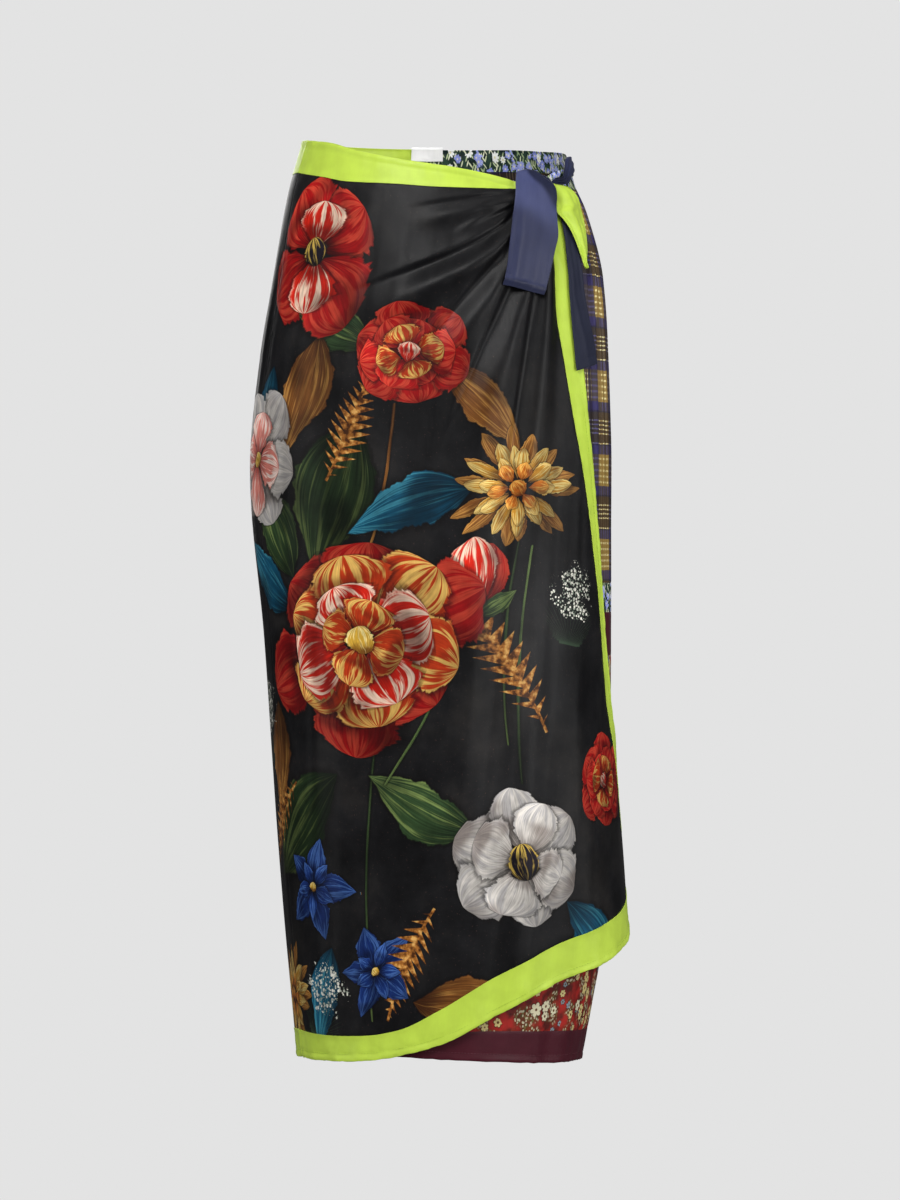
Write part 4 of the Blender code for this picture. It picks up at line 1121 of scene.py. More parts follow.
PLAID_REPEAT = 0.0835
Stripe = namedtuple("Stripe", "start colour")
OCHRE, CREAM, VIOLET = srgb(140, 112, 54), srgb(234, 220, 160), srgb(52, 46, 96)
UMBER, CHALK, DEEP = srgb(58, 44, 32), srgb(226, 224, 214), srgb(34, 32, 56)
DEEP_UMBER = srgb(44, 38, 62)
PLAID_STRIPES = rows_of(
    Stripe,
    (0.0, OCHRE), (3.0, CREAM), (4.9, OCHRE), (9.0, CREAM), (10.9, OCHRE),
    (14.8, CREAM), (16.8, OCHRE), (20.4, CREAM), (22.3, OCHRE),
    (26.2, CREAM), (28.1, OCHRE), (31.0, VIOLET), (40.0, DEEP),
    (41.5, UMBER), (49.4, CHALK), (50.6, UMBER), (53.6, CHALK),
    (54.8, UMBER), (58.0, CHALK), (59.2, UMBER), (62.2, CHALK),
    (63.4, UMBER), (72.0, CHALK), (73.2, DEEP), (74.6, VIOLET),
)


def plaid(g, uv):
    """Stripes that cross: the upright ones are bluer where the level ones are brown."""
    wobble = g.noise(uv, 30.0)
    threads = []
    for value, sign, offset, brown in zip(g.split(uv), (1.0, -1.0), (0.1964, 0.149), (DEEP_UMBER, UMBER)):
        stops = [
            (start / (PLAID_REPEAT * 1000.0), brown if colour == UMBER else colour)
            for start, colour in PLAID_STRIPES
        ]
        moved = g.multiply_add(wobble, 0.0016, value)
        turns = g.multiply_add(moved, sign / PLAID_REPEAT, 10.0 - offset / PLAID_REPEAT)
        threads.append(g.ramp(g.fract(turns), stops, "CONSTANT"))
    evenly = g.node("Gamma", {"Color": g.mix(1.0, *threads, "MULTIPLY"), "Gamma": 0.5})
    return g.mix(0.6, evenly, g.mix(1.0, *threads, "DARKEN"))


def blossoms(g, uv, scale, size, petals, seed):
    """Small flowers in the cells of a random pattern: mask, heart, a random value and outline."""
    moved = g.vectors("ADD", uv, (seed, seed * 0.7, 0.0))
    distance, cell, middle = g.cells(moved, scale, 0.82)
    dx, dy, _ = g.split(g.vectors("SUBTRACT", moved, middle))
    chance, turned, big = g.channels(cell)
    angle = g.multiply_add(turned, 6.0, g.arctan2(dy, dx))
    lobes = abs(g.sine(angle * (petals / 2.0)))
    reach = g.multiply_add(lobes**0.6, 0.17 * size, 0.2 * size) * g.multiply_add(big, 0.5, 0.75)
    inside = reach - distance
    heart = g.range(distance, 0.07 * size, 0.11 * size, 1.0, 0.0)
    return g.range(inside, 0.0, 0.03), heart, chance, g.range(inside, -0.1, -0.04)


def ditsy(g, uv):
    colour = g.tones(g.noise(uv, 120.0), (0.35, 20, 36, 34), (0.65, 46, 70, 58))
    clusters = g.noise(uv, 34.0, 1.0)
    for angle, seed in ((0.7, 0.0), (-0.4, 2.7)):
        slant = g.node("VectorRotate", {"Vector": uv, "Angle": angle}, rotation_type="Z_AXIS")
        stretched = g.vectors("MULTIPLY_ADD", slant, (1.0, 0.25, 1.0), (seed, seed, 0.0))
        distance, cell, _ = g.cells(stretched, 290.0)
        tone = g.channels(cell)[0]
        green = g.tones(tone, (0.4, 110, 140, 96), (0.7, 188, 204, 156), (0.9, 226, 230, 200))
        colour = g.mix(g.range(distance, 0.21, 0.29, 1.0, 0.0) * (tone > 0.44), colour, green)
    for scale, size, seed, first, second in (
        (96.0, 1.1, 3.1, srgb(138, 148, 222), srgb(178, 186, 234)),
        (84.0, 1.15, 7.7, srgb(158, 168, 230), srgb(238, 240, 238)),
    ):
        mask, heart, chance, _ = blossoms(g, uv, scale, size, 8.0, seed)
        mask = mask * (g.multiply_add(clusters, 3.2, chance) > 2.3)
        colour = g.mix(mask, colour, g.mix(g.range(chance, 0.8, 0.82), first, second))
        colour = g.mix(heart * mask, colour, srgb(226, 220, 178))
    return colour


def red_floral(g, uv):
    patches = g.noise(uv, 42.0, 1.0)
    patchy = g.range(patches, 0.5, 0.57)
    ground = g.tones(g.noise(uv, 60.0, 3.0), (0.38, 84, 26, 22), (0.64, 166, 38, 32))
    ground = g.mix(g.range(patches, 0.44, 0.6) * 0.6, ground, srgb(84, 58, 26))
    distance, cell, _ = g.cells(g.vectors("MULTIPLY", uv, (1.0, 0.6, 1.0)), 250.0)
    tone = g.channels(cell)[0]
    blade = g.range(distance, 0.26, 0.36, 1.0, 0.0) * (tone > 0.35)
    colour = g.mix(blade * patchy, ground, g.tones(tone, (0.3, 60, 44, 26), (0.7, 104, 92, 50)))
    distance = g.cells(g.vectors("MULTIPLY", uv, (1.0, 0.72, 1.0)), 330.0)[0]
    creamy = g.range(distance, 0.24, 0.34, 1.0, 0.0) * patchy * 0.85
    colour = g.mix(creamy, colour, srgb(198, 194, 162))
    for scale, size, seed, first, second in (
        (104.0, 1.05, 1.3, srgb(206, 190, 130), srgb(126, 140, 148)),
        (72.0, 1.15, 5.9, srgb(208, 190, 128), srgb(214, 208, 176)),
    ):
        mask, heart, chance, outline = blossoms(g, uv, scale, size, 6.0, seed)
        wanted = chance > 0.76
        mask = mask * wanted
        colour = g.mix(outline * wanted * 0.8, colour, srgb(58, 30, 20))
        colour = g.mix(mask, colour, g.mix(g.range(chance, 0.88, 0.9), first, second))
        colour = g.mix(heart * mask, colour, srgb(96, 62, 30))
    return colour


# ---------------------------------------------------------------- cloth pieces
HEM_ROLL = 0.00055
HEM_RUFFLE = 0.001
EDGE_RUFFLE = 0.0005
HEM_WANDER = 0.0004
SEAM_STEP = 0.0005
SEAM_PUCKER = 0.00022
FOLDED_SHARE = 0.4


def distances(points):
    """How far each point of a grid lies from its four rims, along the cloth."""
    down = np.linalg.norm(np.diff(points, axis=0), axis=-1)
    along = np.linalg.norm(np.diff(points, axis=1), axis=-1)
    top = np.concatenate([np.zeros((1, points.shape[1])), np.cumsum(down, 0)])
    left = np.concatenate([np.zeros((points.shape[0], 1)), np.cumsum(along, 1)], axis=1)
    return {"top": top, "bottom": top[-1] - top, "left": left, "right": left[:, -1:] - left}


def attach(piece, slot, node=None, looks=None):
    """Gives a piece its material and its place in the frame."""
    piece.data.materials.append(MATERIALS[looks or slot])
    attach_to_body(piece, "root")
    if node:
        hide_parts(node)


def dress(piece, node, slot, points, looks=None):
    """Attaches a cloth, and works out the crossed diagonals of its cells, which nothing uses."""
    attach(piece, slot, node, looks)
    crossed = np.cross(points[1:, 1:] - points[:-1, :-1], points[1:, :-1] - points[:-1, 1:])


def finished(turn, drop, points, free, band):
    """How far a cloth's sewing lifts it: rolled and rippled hems, and puckered seams."""
    lift = np.zeros(turn.shape)
    ripple = value_noise(turn / 4.4, drop / 0.012, 11.0) + 0.5 * value_noise(turn / 1.9, drop / 0.005, 13.0)
    pucker = value_noise(turn / 2.3, drop / 0.0062, 17.0)
    for side, away in distances(points).items():
        if side in free:
            ruffle = HEM_RUFFLE if band and side == "bottom" else EDGE_RUFFLE
            lift += HEM_ROLL * bump(away, 0.0026, 0.0024)
            lift -= 0.6 * HEM_ROLL * bump(away, 0.0068, 0.0012)
            lift += ruffle * ripple * np.exp(-away / 0.012)
        else:
            step, reach = (SEAM_STEP, 0.003) if band else (-SEAM_DIP, 0.001)
            lift += step * bump(away, 0.0, reach)
            lift += SEAM_PUCKER * pucker * np.exp(-away / 0.006)
    return lift


def cloth(node, slot, outlines, across, down, offset_at, free=(), held="hung", cut=1.0):
    """One sewn cloth over its patch of the layer, with the same outlines as its CAD node: top,
    bottom, and its straight sides unless they are given. A large cloth is made as two meshes that
    meet along the row at the share named by cut. One with free rims is turned in, and thicker."""
    top, bottom, *sides = outlines
    left, right = sides or (straight(top[0], bottom[0]), straight(top[-1], bottom[-1]))
    shares = rimmed(down, length_of(left))
    grid = blend(top, bottom, left, right, rimmed(across, length_of(top)), shares)
    turn, drop = grid[..., 0], grid[..., 1]
    if "bottom" in free:
        near = np.exp((shares[:, None] - 1.0) * length_of(left) / 0.006)
        level = 0.0 * turn
        crinkle = value_noise(turn / 2.7, level, 23.0) + 0.6 * value_noise(turn / 1.3, level, 27.0)
        drop = drop + HEM_WANDER * crinkle * near
    points = place(turn, drop, offset_at(turn, drop))
    normals = normals_of(turn, drop, offset_at)
    points = points + normals * finished(turn, drop, points, free, slot == "lime_silk")[..., None]
    shading = surface_normals(points)
    layers = {}
    if slot == "black_print_silk":
        layers = {name: layer_values(*layer, turn, drop) for name, layer in PRINT.items()}
    uv = np.stack(print_place(turn, drop), axis=-1)
    last = len(points) - 1
    row = round(cut * last)
    for part, first, end in (("_cloth", 0, row), ("_low_cloth", row, last)):
        if first < end:
            rows = slice(first, end + 1)
            piece = shell(
                node + part, points[rows], normals[rows], BAND_SHELL if free else SHELL, uv[rows],
                {name: values[rows] for name, values in layers.items()}, free, shading[rows],
            )
            dress(piece, node, slot, points[rows])


def panel_shares(folded, plain_rows):
    """Rows down a tall panel, closer together in its folded upper part."""
    low = FOLDED_SHARE + even(plain_rows) * (1.0 - FOLDED_SHARE)
    return np.concatenate([even(folded)[:-1] * FOLDED_SHARE, low])


def make_outer_front():
    top = LIME_WAIST_SEAM + UNDER_KNOT_EDGE[1:]
    band_share = length_of(LIME_WAIST_SEAM) / length_of(top)
    across = 1.0 - (1.0 - even(FRONT_COLUMNS)) ** 1.15
    corner = int(np.argmin(np.abs(across - band_share)))
    across[corner] = band_share
    down = panel_shares(*FRONT_ROWS)
    side = straight(LIME_WAIST_SEAM[0], HEM_SEAM[0])
    cloth("front_panel", "black_print_silk", (top, HEM_SEAM, side, EDGE_INNER), across, down,
          outer_offset, held="gathered", cut=FRONT_CUT)
    cloth("waist_band_front", "lime_silk", (OVERLAP_TOP_EDGE, LIME_WAIST_SEAM),
          across[: corner + 1] / band_share, even(14), outer_offset, free=("top", "right"),
          held="gathered")
    ends = [straight(EDGE_INNER[k], EDGE_OUTER[k]) for k in (0, -1)]
    cloth("edge_band", "lime_silk", (*ends, EDGE_INNER, EDGE_OUTER), even(9), down, outer_offset,
          free=("right",))
    cloth("hem_band_front", "lime_silk", (HEM_SEAM, OVERLAP_HEM), across, even(12), outer_offset,
          free=("bottom", "right"))


def make_outer_back():
    kinds = (
        ("waist_band_back_left", "lime_silk", even(12), ("top",)),
        ("back_left_panel", "black_print_silk", panel_shares(*BACK_ROWS), ()),
        ("hem_band_back_left", "lime_silk", even(10), ("bottom",)),
    )
    for (name, slot, down, free), outlines in zip(kinds, zip(BACK_LEFT_LINES, BACK_LEFT_LINES[1:])):
        cloth(name, slot, outlines, even(BACK_COLUMNS), down, outer_offset, free=free)


def make_patchwork():
    """The inner layer: six bands of cloth, each cut at the right side seam."""
    bands = (
        ("ditsy_waist", 9, "ditsy_silk", ("top",)),
        ("plaid", 110, "plaid_silk", ()),
        ("ditsy_mid", 10, "ditsy_silk", ()),
        ("burgundy_mid", 12, "burgundy_silk", ()),
        ("red_floral", 70, "red_floral_silk", ()),
        ("burgundy_hem", 10, "burgundy_silk", ("bottom",)),
    )
    low, high, seam = UNDERLAP_EDGE_TURN, RIGHT_SEAM_TURN, GATHER_FIRST_TURN - 4.0
    fine = np.concatenate([np.linspace(low, seam, 31)[:-1], np.linspace(seam, high, 101)])
    for part, low, high, across, sides in (
        ("underlap", low, high, (fine - low) / (high - low), ("left",)),
        ("back_right", high, BACK_SEAM_TURN, even(60), ()),
    ):
        waist = between(INNER_WAIST_EDGE, low, high)
        lines = [waist, tuple(Mark(m.turn, m.drop + DITSY_WAIST_HEIGHT) for m in waist)]
        for drop in (DITSY_MID_TOP, BURGUNDY_MID_TOP, RED_FLORAL_TOP):
            lines.append(straight(Mark(low, drop), Mark(high, drop)))
        lines += [between(BURGUNDY_HEM_SEAM, low, high), between(INNER_HEM, low, high)]
        for (name, rows, slot, free), outlines in zip(bands, zip(lines, lines[1:])):
            node = part + "_" + name
            cloth(node, slot, outlines, across, even(rows), inner_offset, free=free + sides,
                  held="gathered" if name == "plaid" else "hung")


# ---------------------------------------------------------------- ties, knot, flap and label
def rows_to_grid(rows, each, across):
    """Places between a table's two sides, and the shares across and down at which they lie."""
    table = np.array(rows)
    shares = np.linspace(0.0, 1.0, len(rows))
    down = even(each * (len(rows) - 1))
    table = np.stack([curve(down, shares, table[:, k]) for k in range(6)], axis=-1)
    u = even(across)[None, :]
    grid = table[:, None, :3] * (1.0 - u[..., None]) + table[:, None, 3:] * u[..., None]
    return grid, u, down[:, None]


def hemmed(away, height, middle=0.0012, sides=("left", "right")):
    """The roll of a narrow hem along some of a ribbon's sides."""
    return height * sum(bump(away[side], middle, 0.0012) for side in sides)


def ribbon(node, slot, points, lift, wall, looks=None, painted_shade=0.0):
    """A free ribbon over a grid of points, lifted along its normals by its wrinkles."""
    # painted shade: each ribbon carries a map of painted shade, which darkens its colour, as an attribute for
    # its material
    painted_shade = np.broadcast_to(painted_shade, points.shape[:2])
    layers = {"painted_shade": np.repeat(painted_shade[..., None], 4, axis=-1)}
    points = points + surface_normals(points) * lift[..., None]
    away = distances(points)
    uv = np.stack([away["left"], -away["top"]], axis=-1)
    piece = shell(node + "_cloth", points, surface_normals(points), wall, uv, layers, ALL_SIDES)
    dress(piece, node, slot, points, looks)


ALL_SIDES = ("top", "bottom", "left", "right")


def tilt(turn):
    return KNOT_TILT * (turn - KNOT_TURN) / KNOT_HALF_TURN


def make_front_tail():
    arch = []
    clear = TIE_WALL + 1.5 * LAY_GAP
    for angle in FRONT_TAIL_ARCH:
        drop = KNOT_DROP - (KNOT_HALF_HEIGHT + clear) * cos(radians(angle))
        offset = KNOT_OFFSET + (KNOT_HALF_DEPTH + clear) * sin(radians(angle))
        share = (angle + 60.0) / 140.0
        left, right = 33.6 - 3.6 * share, 47.7 - 0.3 * share
        arch.append(Across(left, drop + tilt(left), offset, right, drop + tilt(right), offset))
    grid, u, v = rows_to_grid(tuple(arch) + FRONT_TAIL_ROWS, 8, 30)
    over = smooth(v, 0.0, 0.12) * (1.0 - smooth(v, 0.22, 0.52))
    grid[..., 1] += over * (0.0024 - 0.0062 * (1.0 - (2.0 * u - 1.0) ** 2) ** 0.7)
    grid[..., 2] -= smooth(v, 0.05, 0.2) * (1.0 - smooth(v, 0.5, 0.8)) * 0.002 * (2.0 * u - 1.0) ** 4
    points = place_grid(grid)
    away = distances(points)
    falls = smooth(v, 0.5, 0.78)
    tight = smooth(v, 0.06, 0.3) * (1.0 - smooth(v, 0.52, 0.8))
    pleats = np.sin(2.0 * pi * (3.2 * u + 0.35 * np.sin(5.0 * v))) + 0.6 * value_noise(u * 9.0, v * 3.0, 3.0)
    pinch = bump(u - 1.5 * (v - 0.14), 0.56, 0.12) * smooth(v, 0.03, 0.1) * (1.0 - smooth(v, 0.3, 0.44))
    hem = 1.0 - smooth(away["bottom"], 0.007, 0.0084)
    lift = 0.0017 * falls * (bump(u + 0.1 * v, 0.3, 0.13) - 0.7 * bump(u, 0.68, 0.16))
    lift = lift + 0.00026 * tight * pleats - 0.0022 * pinch
    lift = lift + 0.0003 * value_noise(u * 4.0, v * 7.0, 5.0) * falls + hemmed(away, 0.00035)
    lift = lift + hem * (0.001 - 0.002 * (1.0 - smooth(away["bottom"], 0.0, 0.006)))
    lift = lift - 0.0005 * bump(away["bottom"], 0.0092, 0.0009)
    # Painted shade, darkened into the colour: the upper part where the satin turns over the knot, the lower
    # part of the tail, and most of all its hem
    painted_shade = smooth(u, 0.18, 0.36) * smooth(v, 0.08, 0.16)
    painted_shade = painted_shade * (1.0 - smooth(v - 0.42 * (u - 0.32), 0.34, 0.44))
    painted_shade = np.maximum(painted_shade, 0.71 * smooth(v - 0.12 * (u - 0.5), 0.64, 0.76))
    ribbon("tie_tail_front", "navy_satin", points, lift, TIE_WALL - 0.0001, looks="navy_face",
           painted_shade=np.maximum(painted_shade, 0.93 * hem))


def make_flap():
    grid, u, v = rows_to_grid(FLAP_ROWS, 7, 28)
    points = place_grid(grid)
    away = distances(points)
    lift = 0.002 * bump(u + 0.1 * v, 0.52, 0.15) * smooth(v, 0.04, 0.25)
    lift = lift - 0.0016 * bump(u + 0.06 * v, 0.25, 0.09) * smooth(v, 0.08, 0.35)
    lift = lift - 0.0022 * smooth(u, 0.72, 1.0) * smooth(v, 0.1, 0.4)
    lift = lift + 0.0005 * value_noise(u * 5.0, v * 9.0, 9.0)
    lift = lift + hemmed(away, 0.0006, 0.0014, ("left", "right", "bottom"))
    # Painted shade and shadow: a dark spot at the upper left beside the tail, and a thin painted shadow line
    # along the top and right rims of the upper part
    rim = bump(np.minimum(away["right"], away["top"]), 0.0, 0.0009) * (1.0 - smooth(v, 0.3, 0.5))
    painted_shade = np.maximum(0.45 * bump(u, 0.08, 0.14) * bump(v, 0.26, 0.1), rim)
    ribbon("corner_flap", "lime_silk", points, lift, FLAP_WALL - 0.0001, painted_shade=painted_shade)


def make_side_tail():
    grid, u, v = rows_to_grid(SIDE_TAIL_ROWS, 12, 22)
    turn, drop, offset = np.moveaxis(grid, -1, 0)
    lying = outer_offset(turn, drop) + TIE_WALL + LAY_GAP + 1.6 * EDGE_RUFFLE
    corner = UNDER_KNOT_EDGE[-1].drop
    below_knot = smooth(drop, corner - 0.008, corner - 0.002)
    points = place(turn, drop, offset + np.maximum(lying - offset, 0.0) * below_knot)
    away = distances(points)
    lift = 0.0008 * bump(u + 0.2 * np.sin(4.0 * v), 0.42, 0.14) * smooth(v, 0.1, 0.3)
    lift = lift + 0.00025 * (1.0 + value_noise(u * 5.0, v * 12.0, 21.0))
    lift = lift + hemmed(away, 0.0003, sides=("left", "right", "bottom"))
    lift = lift - 0.0004 * bump(away["bottom"], 0.009, 0.0009)
    # The side tail takes the darker navy copy, which paints it in shade
    ribbon("tie_tail_side", "navy_satin", points, lift + 0.0002, TIE_WALL - 0.0002, looks="navy_reverse")


def make_strap():
    grid, u, v = rows_to_grid(STRAP_ROWS, 10, 26)
    turn = grid[..., 0]
    puffed = smooth(turn, 60.0, 72.0) * (1.0 - smooth(turn, 96.0, 112.0))
    grid[..., 2] += STRAP_PUFF * puffed * np.sin(pi * u) - waist_pull(turn, grid[..., 1])
    pleat = np.sin(2.0 * pi * (2.6 * u + 0.5 * np.sin(6.0 * v))) + 0.7 * value_noise(v * 16.0, u * 3.0, 8.0)
    lift = 0.00045 * pleat * smooth(v, 0.05, 0.25) * (1.0 - 0.6 * smooth(v, 0.6, 0.9))
    # Painted shade: the strap's colour darkens towards the knot
    ribbon("tie_strap", "navy_satin", place_grid(grid), lift + 0.0003, TIE_WALL - 0.0004,
           painted_shade=0.8 * (1.0 - smooth(turn, 58.0, 76.0)))


def make_knot():
    """The wound knot: a bundle of turns pressed together, pleated along its winding."""
    steps = even(KNOT_RINGS)
    shares = np.linspace(0.0, 1.0, len(KNOT_BUNDLE))
    along, size = (curve(steps, shares, column(KNOT_BUNDLE, name))[:, None] for name in Bundle._fields)
    angle = np.linspace(0.0, 2.0 * pi, KNOT_SIDES, endpoint=False)[None, :]
    wind = 2.0 * pi * (KNOT_WINDS * steps[:, None]) + 1.6 * np.sin(angle) + 0.5 * np.cos(2.0 * angle)
    bulge = KNOT_GROOVE * (0.055 * np.sin(3.0 * wind + 1.0) - np.abs(np.sin(0.5 * wind)) ** 6)
    turn = KNOT_TURN + KNOT_HALF_TURN * along + 0.0 * angle
    drop = KNOT_DROP + tilt(turn) + (KNOT_HALF_HEIGHT * size + bulge) * np.cos(angle)
    offset = KNOT_OFFSET + (KNOT_HALF_DEPTH * size + bulge) * np.sin(angle)
    points = place(turn, drop, offset)
    rings, sides = points.shape[:2]
    index = np.arange(rings * sides).reshape(rings, sides)
    turned = np.roll(index, -1, 1)
    quads = np.stack([index[:-1], index[1:], turned[1:], turned[:-1]], -1).reshape(-1, 4)
    tip = np.full(sides, rings * sides)
    ends = np.concatenate([
        np.stack([tip, index[0], turned[0]], -1), np.stack([tip + 1, turned[-1], index[-1]], -1)
    ])
    verts = np.concatenate([points.reshape(-1, 3), [points[0].mean(0), points[-1].mean(0)]])
    mesh = mesh_from("tie_knot_cloth", verts.tolist(), quads.tolist() + ends.tolist())
    across = distances(points)["top"][:, :1]
    uv = np.stack(np.broadcast_arrays(across, angle * 0.009), -1).reshape(-1, 2)
    put_uv(mesh, np.concatenate([uv, uv[:1], uv[-1:]]))
    piece = link("tie_knot_cloth", mesh)
    attach(piece, "navy_satin", "tie_knot")


def make_label():
    """The bare label, folded over at its top."""
    turn, drop = np.meshgrid(np.linspace(*LABEL_TURNS, 41), np.linspace(*LABEL_DROPS, 25))
    offset = inner_offset(turn, np.maximum(drop, 0.0)) - CLOTH_WALL - 1.5 * LAY_GAP
    points = place(turn, drop, offset)
    normals = normals_of(turn, drop, inner_offset)
    away = distances(points)
    sag = 0.00025 * value_noise(turn / 2.0, drop / 0.005, 31.0) - 0.0002 * bump(away["top"], 0.0016, 0.0007)
    points = points + normals * sag[..., None]
    uv = np.stack([away["left"], -away["top"]], -1)
    piece = shell("label_cloth", points, normals, LABEL_WALL, uv, {}, ALL_SIDES)
    dress(piece, "label", "label_satin", points)


# ---------------------------------------------------------------- sewing thread
STITCH_PITCH, STITCH_LONG, STITCH_THICK, STITCH_SIDES = 0.0032, 0.0021, 0.00022, 6
STITCH_RINGS = ((-0.5, 0.35), (-0.34, 1.0), (0.34, 1.0), (0.5, 0.35))


def stitches(name, slot, line, side_shift, down_shift, offset_at):
    """A row of stitches beside an edge of a layer."""
    turn, drop = edge(line, even(400)).T + np.array([[side_shift], [down_shift]])
    points = place(turn, drop, offset_at(turn, drop))
    normals = normals_of(turn, drop, offset_at)
    length = np.concatenate([[0.0], np.cumsum(np.linalg.norm(np.diff(points, axis=0), axis=-1))])

    def along_line(values, at):
        return np.stack([np.interp(at, length, values[:, k]) for k in range(3)], -1)

    rings, many = len(STITCH_RINGS), STITCH_SIDES
    verts, faces = [], []
    for middle in np.arange(STITCH_PITCH, length[-1] - STITCH_PITCH, STITCH_PITCH):
        here = along_line(points, middle)
        up = unit(along_line(normals, middle))
        forward = unit(along_line(points, middle + 0.0005) - here)
        side = np.cross(up, forward)
        start = len(verts)
        for share, size in STITCH_RINGS:
            raised = STITCH_THICK * (0.55 - 1.2 * abs(share))
            spot = here + forward * share * STITCH_LONG + up * raised
            for angle in np.linspace(0.0, 2.0 * pi, many, endpoint=False):
                verts.append(spot + size * STITCH_THICK * (side * cos(angle) + up * sin(angle)))
        for low in range(start, start + (rings - 1) * many, many):
            for k in range(many):
                n = (k + 1) % many
                faces.append((low + k, low + n, low + many + n, low + many + k))
        faces.append(tuple(range(start + many - 1, start - 1, -1)))
        faces.append(tuple(range(start + (rings - 1) * many, start + rings * many)))
    attach(link(name, mesh_from(name, [tuple(v) for v in verts], faces)), slot, looks=slot + "_thread")


# ---------------------------------------------------------------- stage, light and camera
BACKDROP = srgb(227, 227, 227)
WORLD_MIRRORED = 0.3
FLOOR_REACH, FLOOR_LOW = 30.0, -1.25


def cleared(holder):
    holder.use_nodes = True
    holder.node_tree.nodes.clear()
    return Graph(holder.node_tree)


def make_stage():
    world = bpy.data.worlds.new("studio")
    bpy.context.scene.world = world
    g = cleared(world)
    height = g.split(g.node("TexCoord", output="Generated"))[2]
    mirrored = g.linear(g.node("LightPath", output="Is Glossy Ray"), 0.0, 1.0, 1.0, WORLD_MIRRORED)
    greys = [(0.0, (0.16, 0.16, 0.165)), (1.0, (0.36, 0.36, 0.37))]
    soft = g.node("Background", (g.ramp(g.linear(height, -0.6, 0.9, 0.0, 1.0), greys), mirrored))
    paper = g.node("Background", (BACKDROP, 1.0))
    both = g.node("MixShader", (g.node("LightPath", output="Is Camera Ray"), soft, paper))
    g.node("OutputWorld", {"Surface": both})
    mesh = bpy.data.meshes.new("floor")
    corners = [(x * FLOOR_REACH, y * FLOOR_REACH, FLOOR_LOW) for x, y in ((-1, -1), (1, -1), (1, 1), (-1, 1))]
    mesh.from_pydata(corners, [], [(0, 1, 2, 3)])
    floor = link("floor", mesh)
    made = bpy.data.materials.new("floor_paper")
    g = cleared(made)
    g.node("OutputMaterial", {"Surface": g.node("Emission", (BACKDROP, 1.0))})
    mesh.materials.append(made)
    floor.visible_diffuse = floor.visible_glossy = floor.visible_shadow = False


Lamp = namedtuple("Lamp", "name place size power")
LAMPS = rows_of(
    Lamp,
    ("key", (-0.9, -3.0, 1.6), (1.5, 1.5), 80.0),
    ("fill", (2.6, -2.8, 0.1), (1.4, 2.0), 58.0),
    ("left_strip", (-2.8, -1.1, -0.2), (0.5, 2.4), 10.0),
    ("right_strip", (2.8, -0.8, -0.2), (0.5, 2.4), 13.0),
    ("above", (0.3, -1.3, 2.7), (1.4, 1.4), 14.0),
    ("behind", (-0.8, 3.6, 0.8), (2.2, 2.2), 46.0),
)
AIM = Vector((0.015, 0.0, -0.42))
CAMERA_PLACE = (0.015, -4.0, -0.461)
LENS = 120.0


def make_lights():
    for lamp in LAMPS:
        light = bpy.data.lights.new(lamp.name, "AREA")
        light.shape = "RECTANGLE"
        light.size, light.size_y = lamp.size
        light.energy = lamp.power
        light.color = (1.0, 0.992, 0.98)
        holder = link(lamp.name, light)
        holder.location = lamp.place
        holder.rotation_euler = (AIM - Vector(lamp.place)).to_track_quat("-Z", "Y").to_euler()


def make_camera():
    data = bpy.data.cameras.new("camera")
    data.lens = LENS
    data.sensor_width = 36.0
    data.clip_start, data.clip_end = 0.1, 100.0
    holder = link("camera", data)
    holder.location = CAMERA_PLACE
    holder.rotation_euler = (pi / 2.0, 0.0, 0.0)
    bpy.context.scene.camera = holder
    bpy.context.scene.view_settings.view_transform = "Standard"


FRONT_CUT = 0.5
FRONT_COLUMNS, FRONT_ROWS, BACK_COLUMNS, BACK_ROWS = 196, (200, 196), 104, (110, 130)

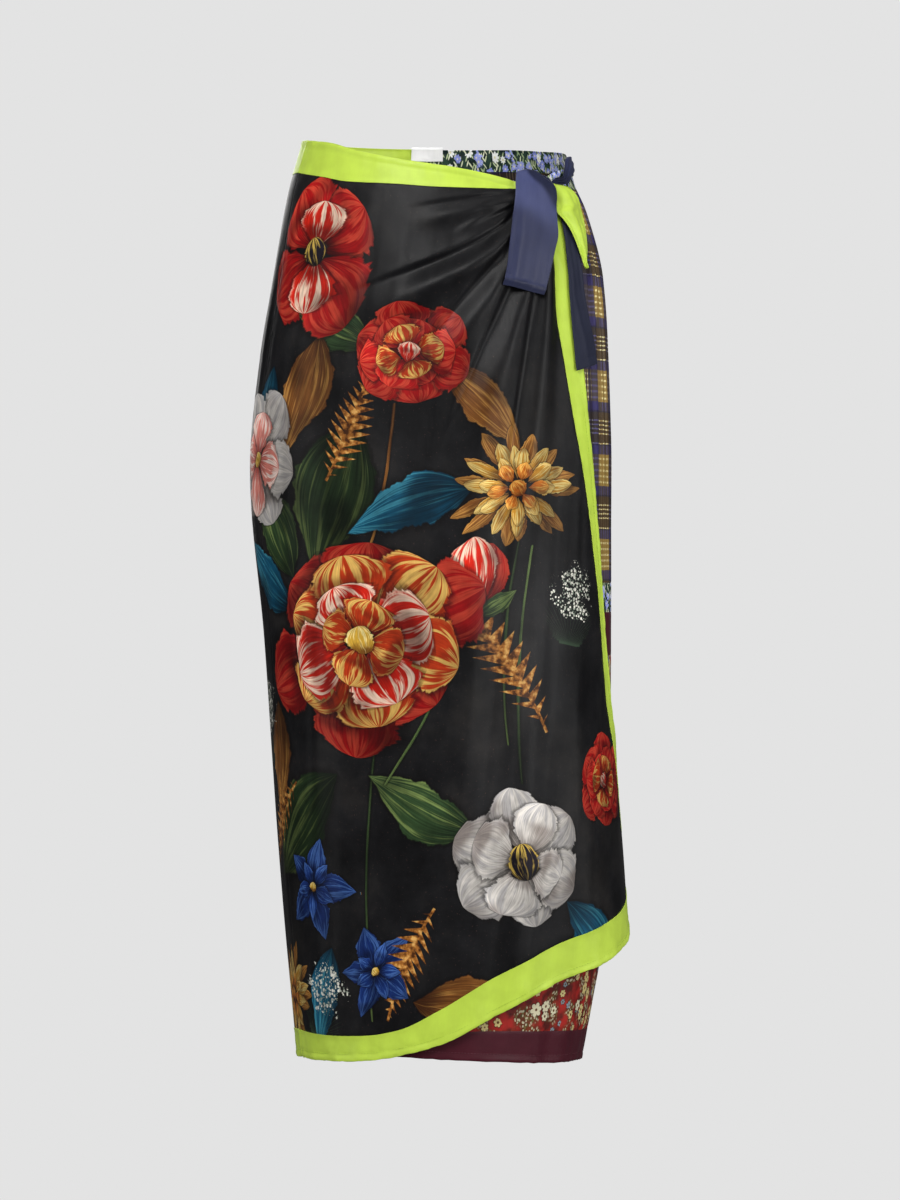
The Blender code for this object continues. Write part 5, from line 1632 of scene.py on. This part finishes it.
PRINT = {"print_%02d" % k: layer for k, layer in enumerate(stack_layers(print_motifs(), PRINT_LAYERS))}
PRINT["sprigs"] = stack_layers(sprig_motifs(), 1)[0]
LOOKS = {
    "black_print_silk": (black_print, dict(rough=0.4, sheen=0.0, gloss=0.155)),
    "lime_silk": (plain(189, 217, 76), dict(rough=0.38, gloss=0.24, tint=0.025)),
    "ditsy_silk": (ditsy, dict(rough=0.5, sheen=0.02, gloss=0.22)),
    "plaid_silk": (plaid, dict(rough=0.5, sheen=0.02, gloss=0.2, tint=0.1)),
    "burgundy_silk": (plain(71, 24, 35), dict(rough=0.42, gloss=0.18)),
    "red_floral_silk": (red_floral, dict(rough=0.48, sheen=0.02, gloss=0.2)),
    "navy_satin": (plain(48, 53, 84), dict(rough=0.4, gloss=0.2)),
    "navy_face": (plain(67, 73, 111), dict(rough=0.4, gloss=0.2)),
    # A darker, duller copy of the navy: the matte reverse of the satin, darkened further as painted shade for
    # the side tail
    "navy_reverse": (plain(38, 41, 58), dict(rough=0.5, gloss=0.14)),
    "label_satin": (plain(250, 250, 250), dict(rough=0.45, tint=0.03)),
}
MATERIALS = {
    key: cloth_material(key + "_cloth", paint, **looks) for key, (paint, looks) in LOOKS.items()
}
for silk, levels in (("lime", (170, 198, 62)), ("burgundy", (92, 44, 54))):
    thread = cloth_material(silk + "_thread", plain(*levels), rough=0.5, weave=0.0002)
    MATERIALS[silk + "_silk_thread"] = thread
make_outer_front()
make_outer_back()
make_patchwork()
make_front_tail()
make_flap()
make_side_tail()
make_strap()
make_knot()
make_label()
for name, slot, line, side_shift, down_shift, offset_at in (
    ("hem_front_stitches", "lime_silk", OVERLAP_HEM, 0.0, -0.007, outer_offset),
    ("hem_back_stitches", "lime_silk", BACK_LEFT_LINES[3], 0.0, -0.007, outer_offset),
    ("edge_stitches", "lime_silk", EDGE_OUTER, -2.3, -0.001, outer_offset),
    ("inner_hem_stitches", "burgundy_silk", INNER_HEM, 0.0, -0.0072, inner_offset),
):
    stitches(name, slot, line, side_shift, down_shift, offset_at)
make_stage()
make_lights()
make_camera()
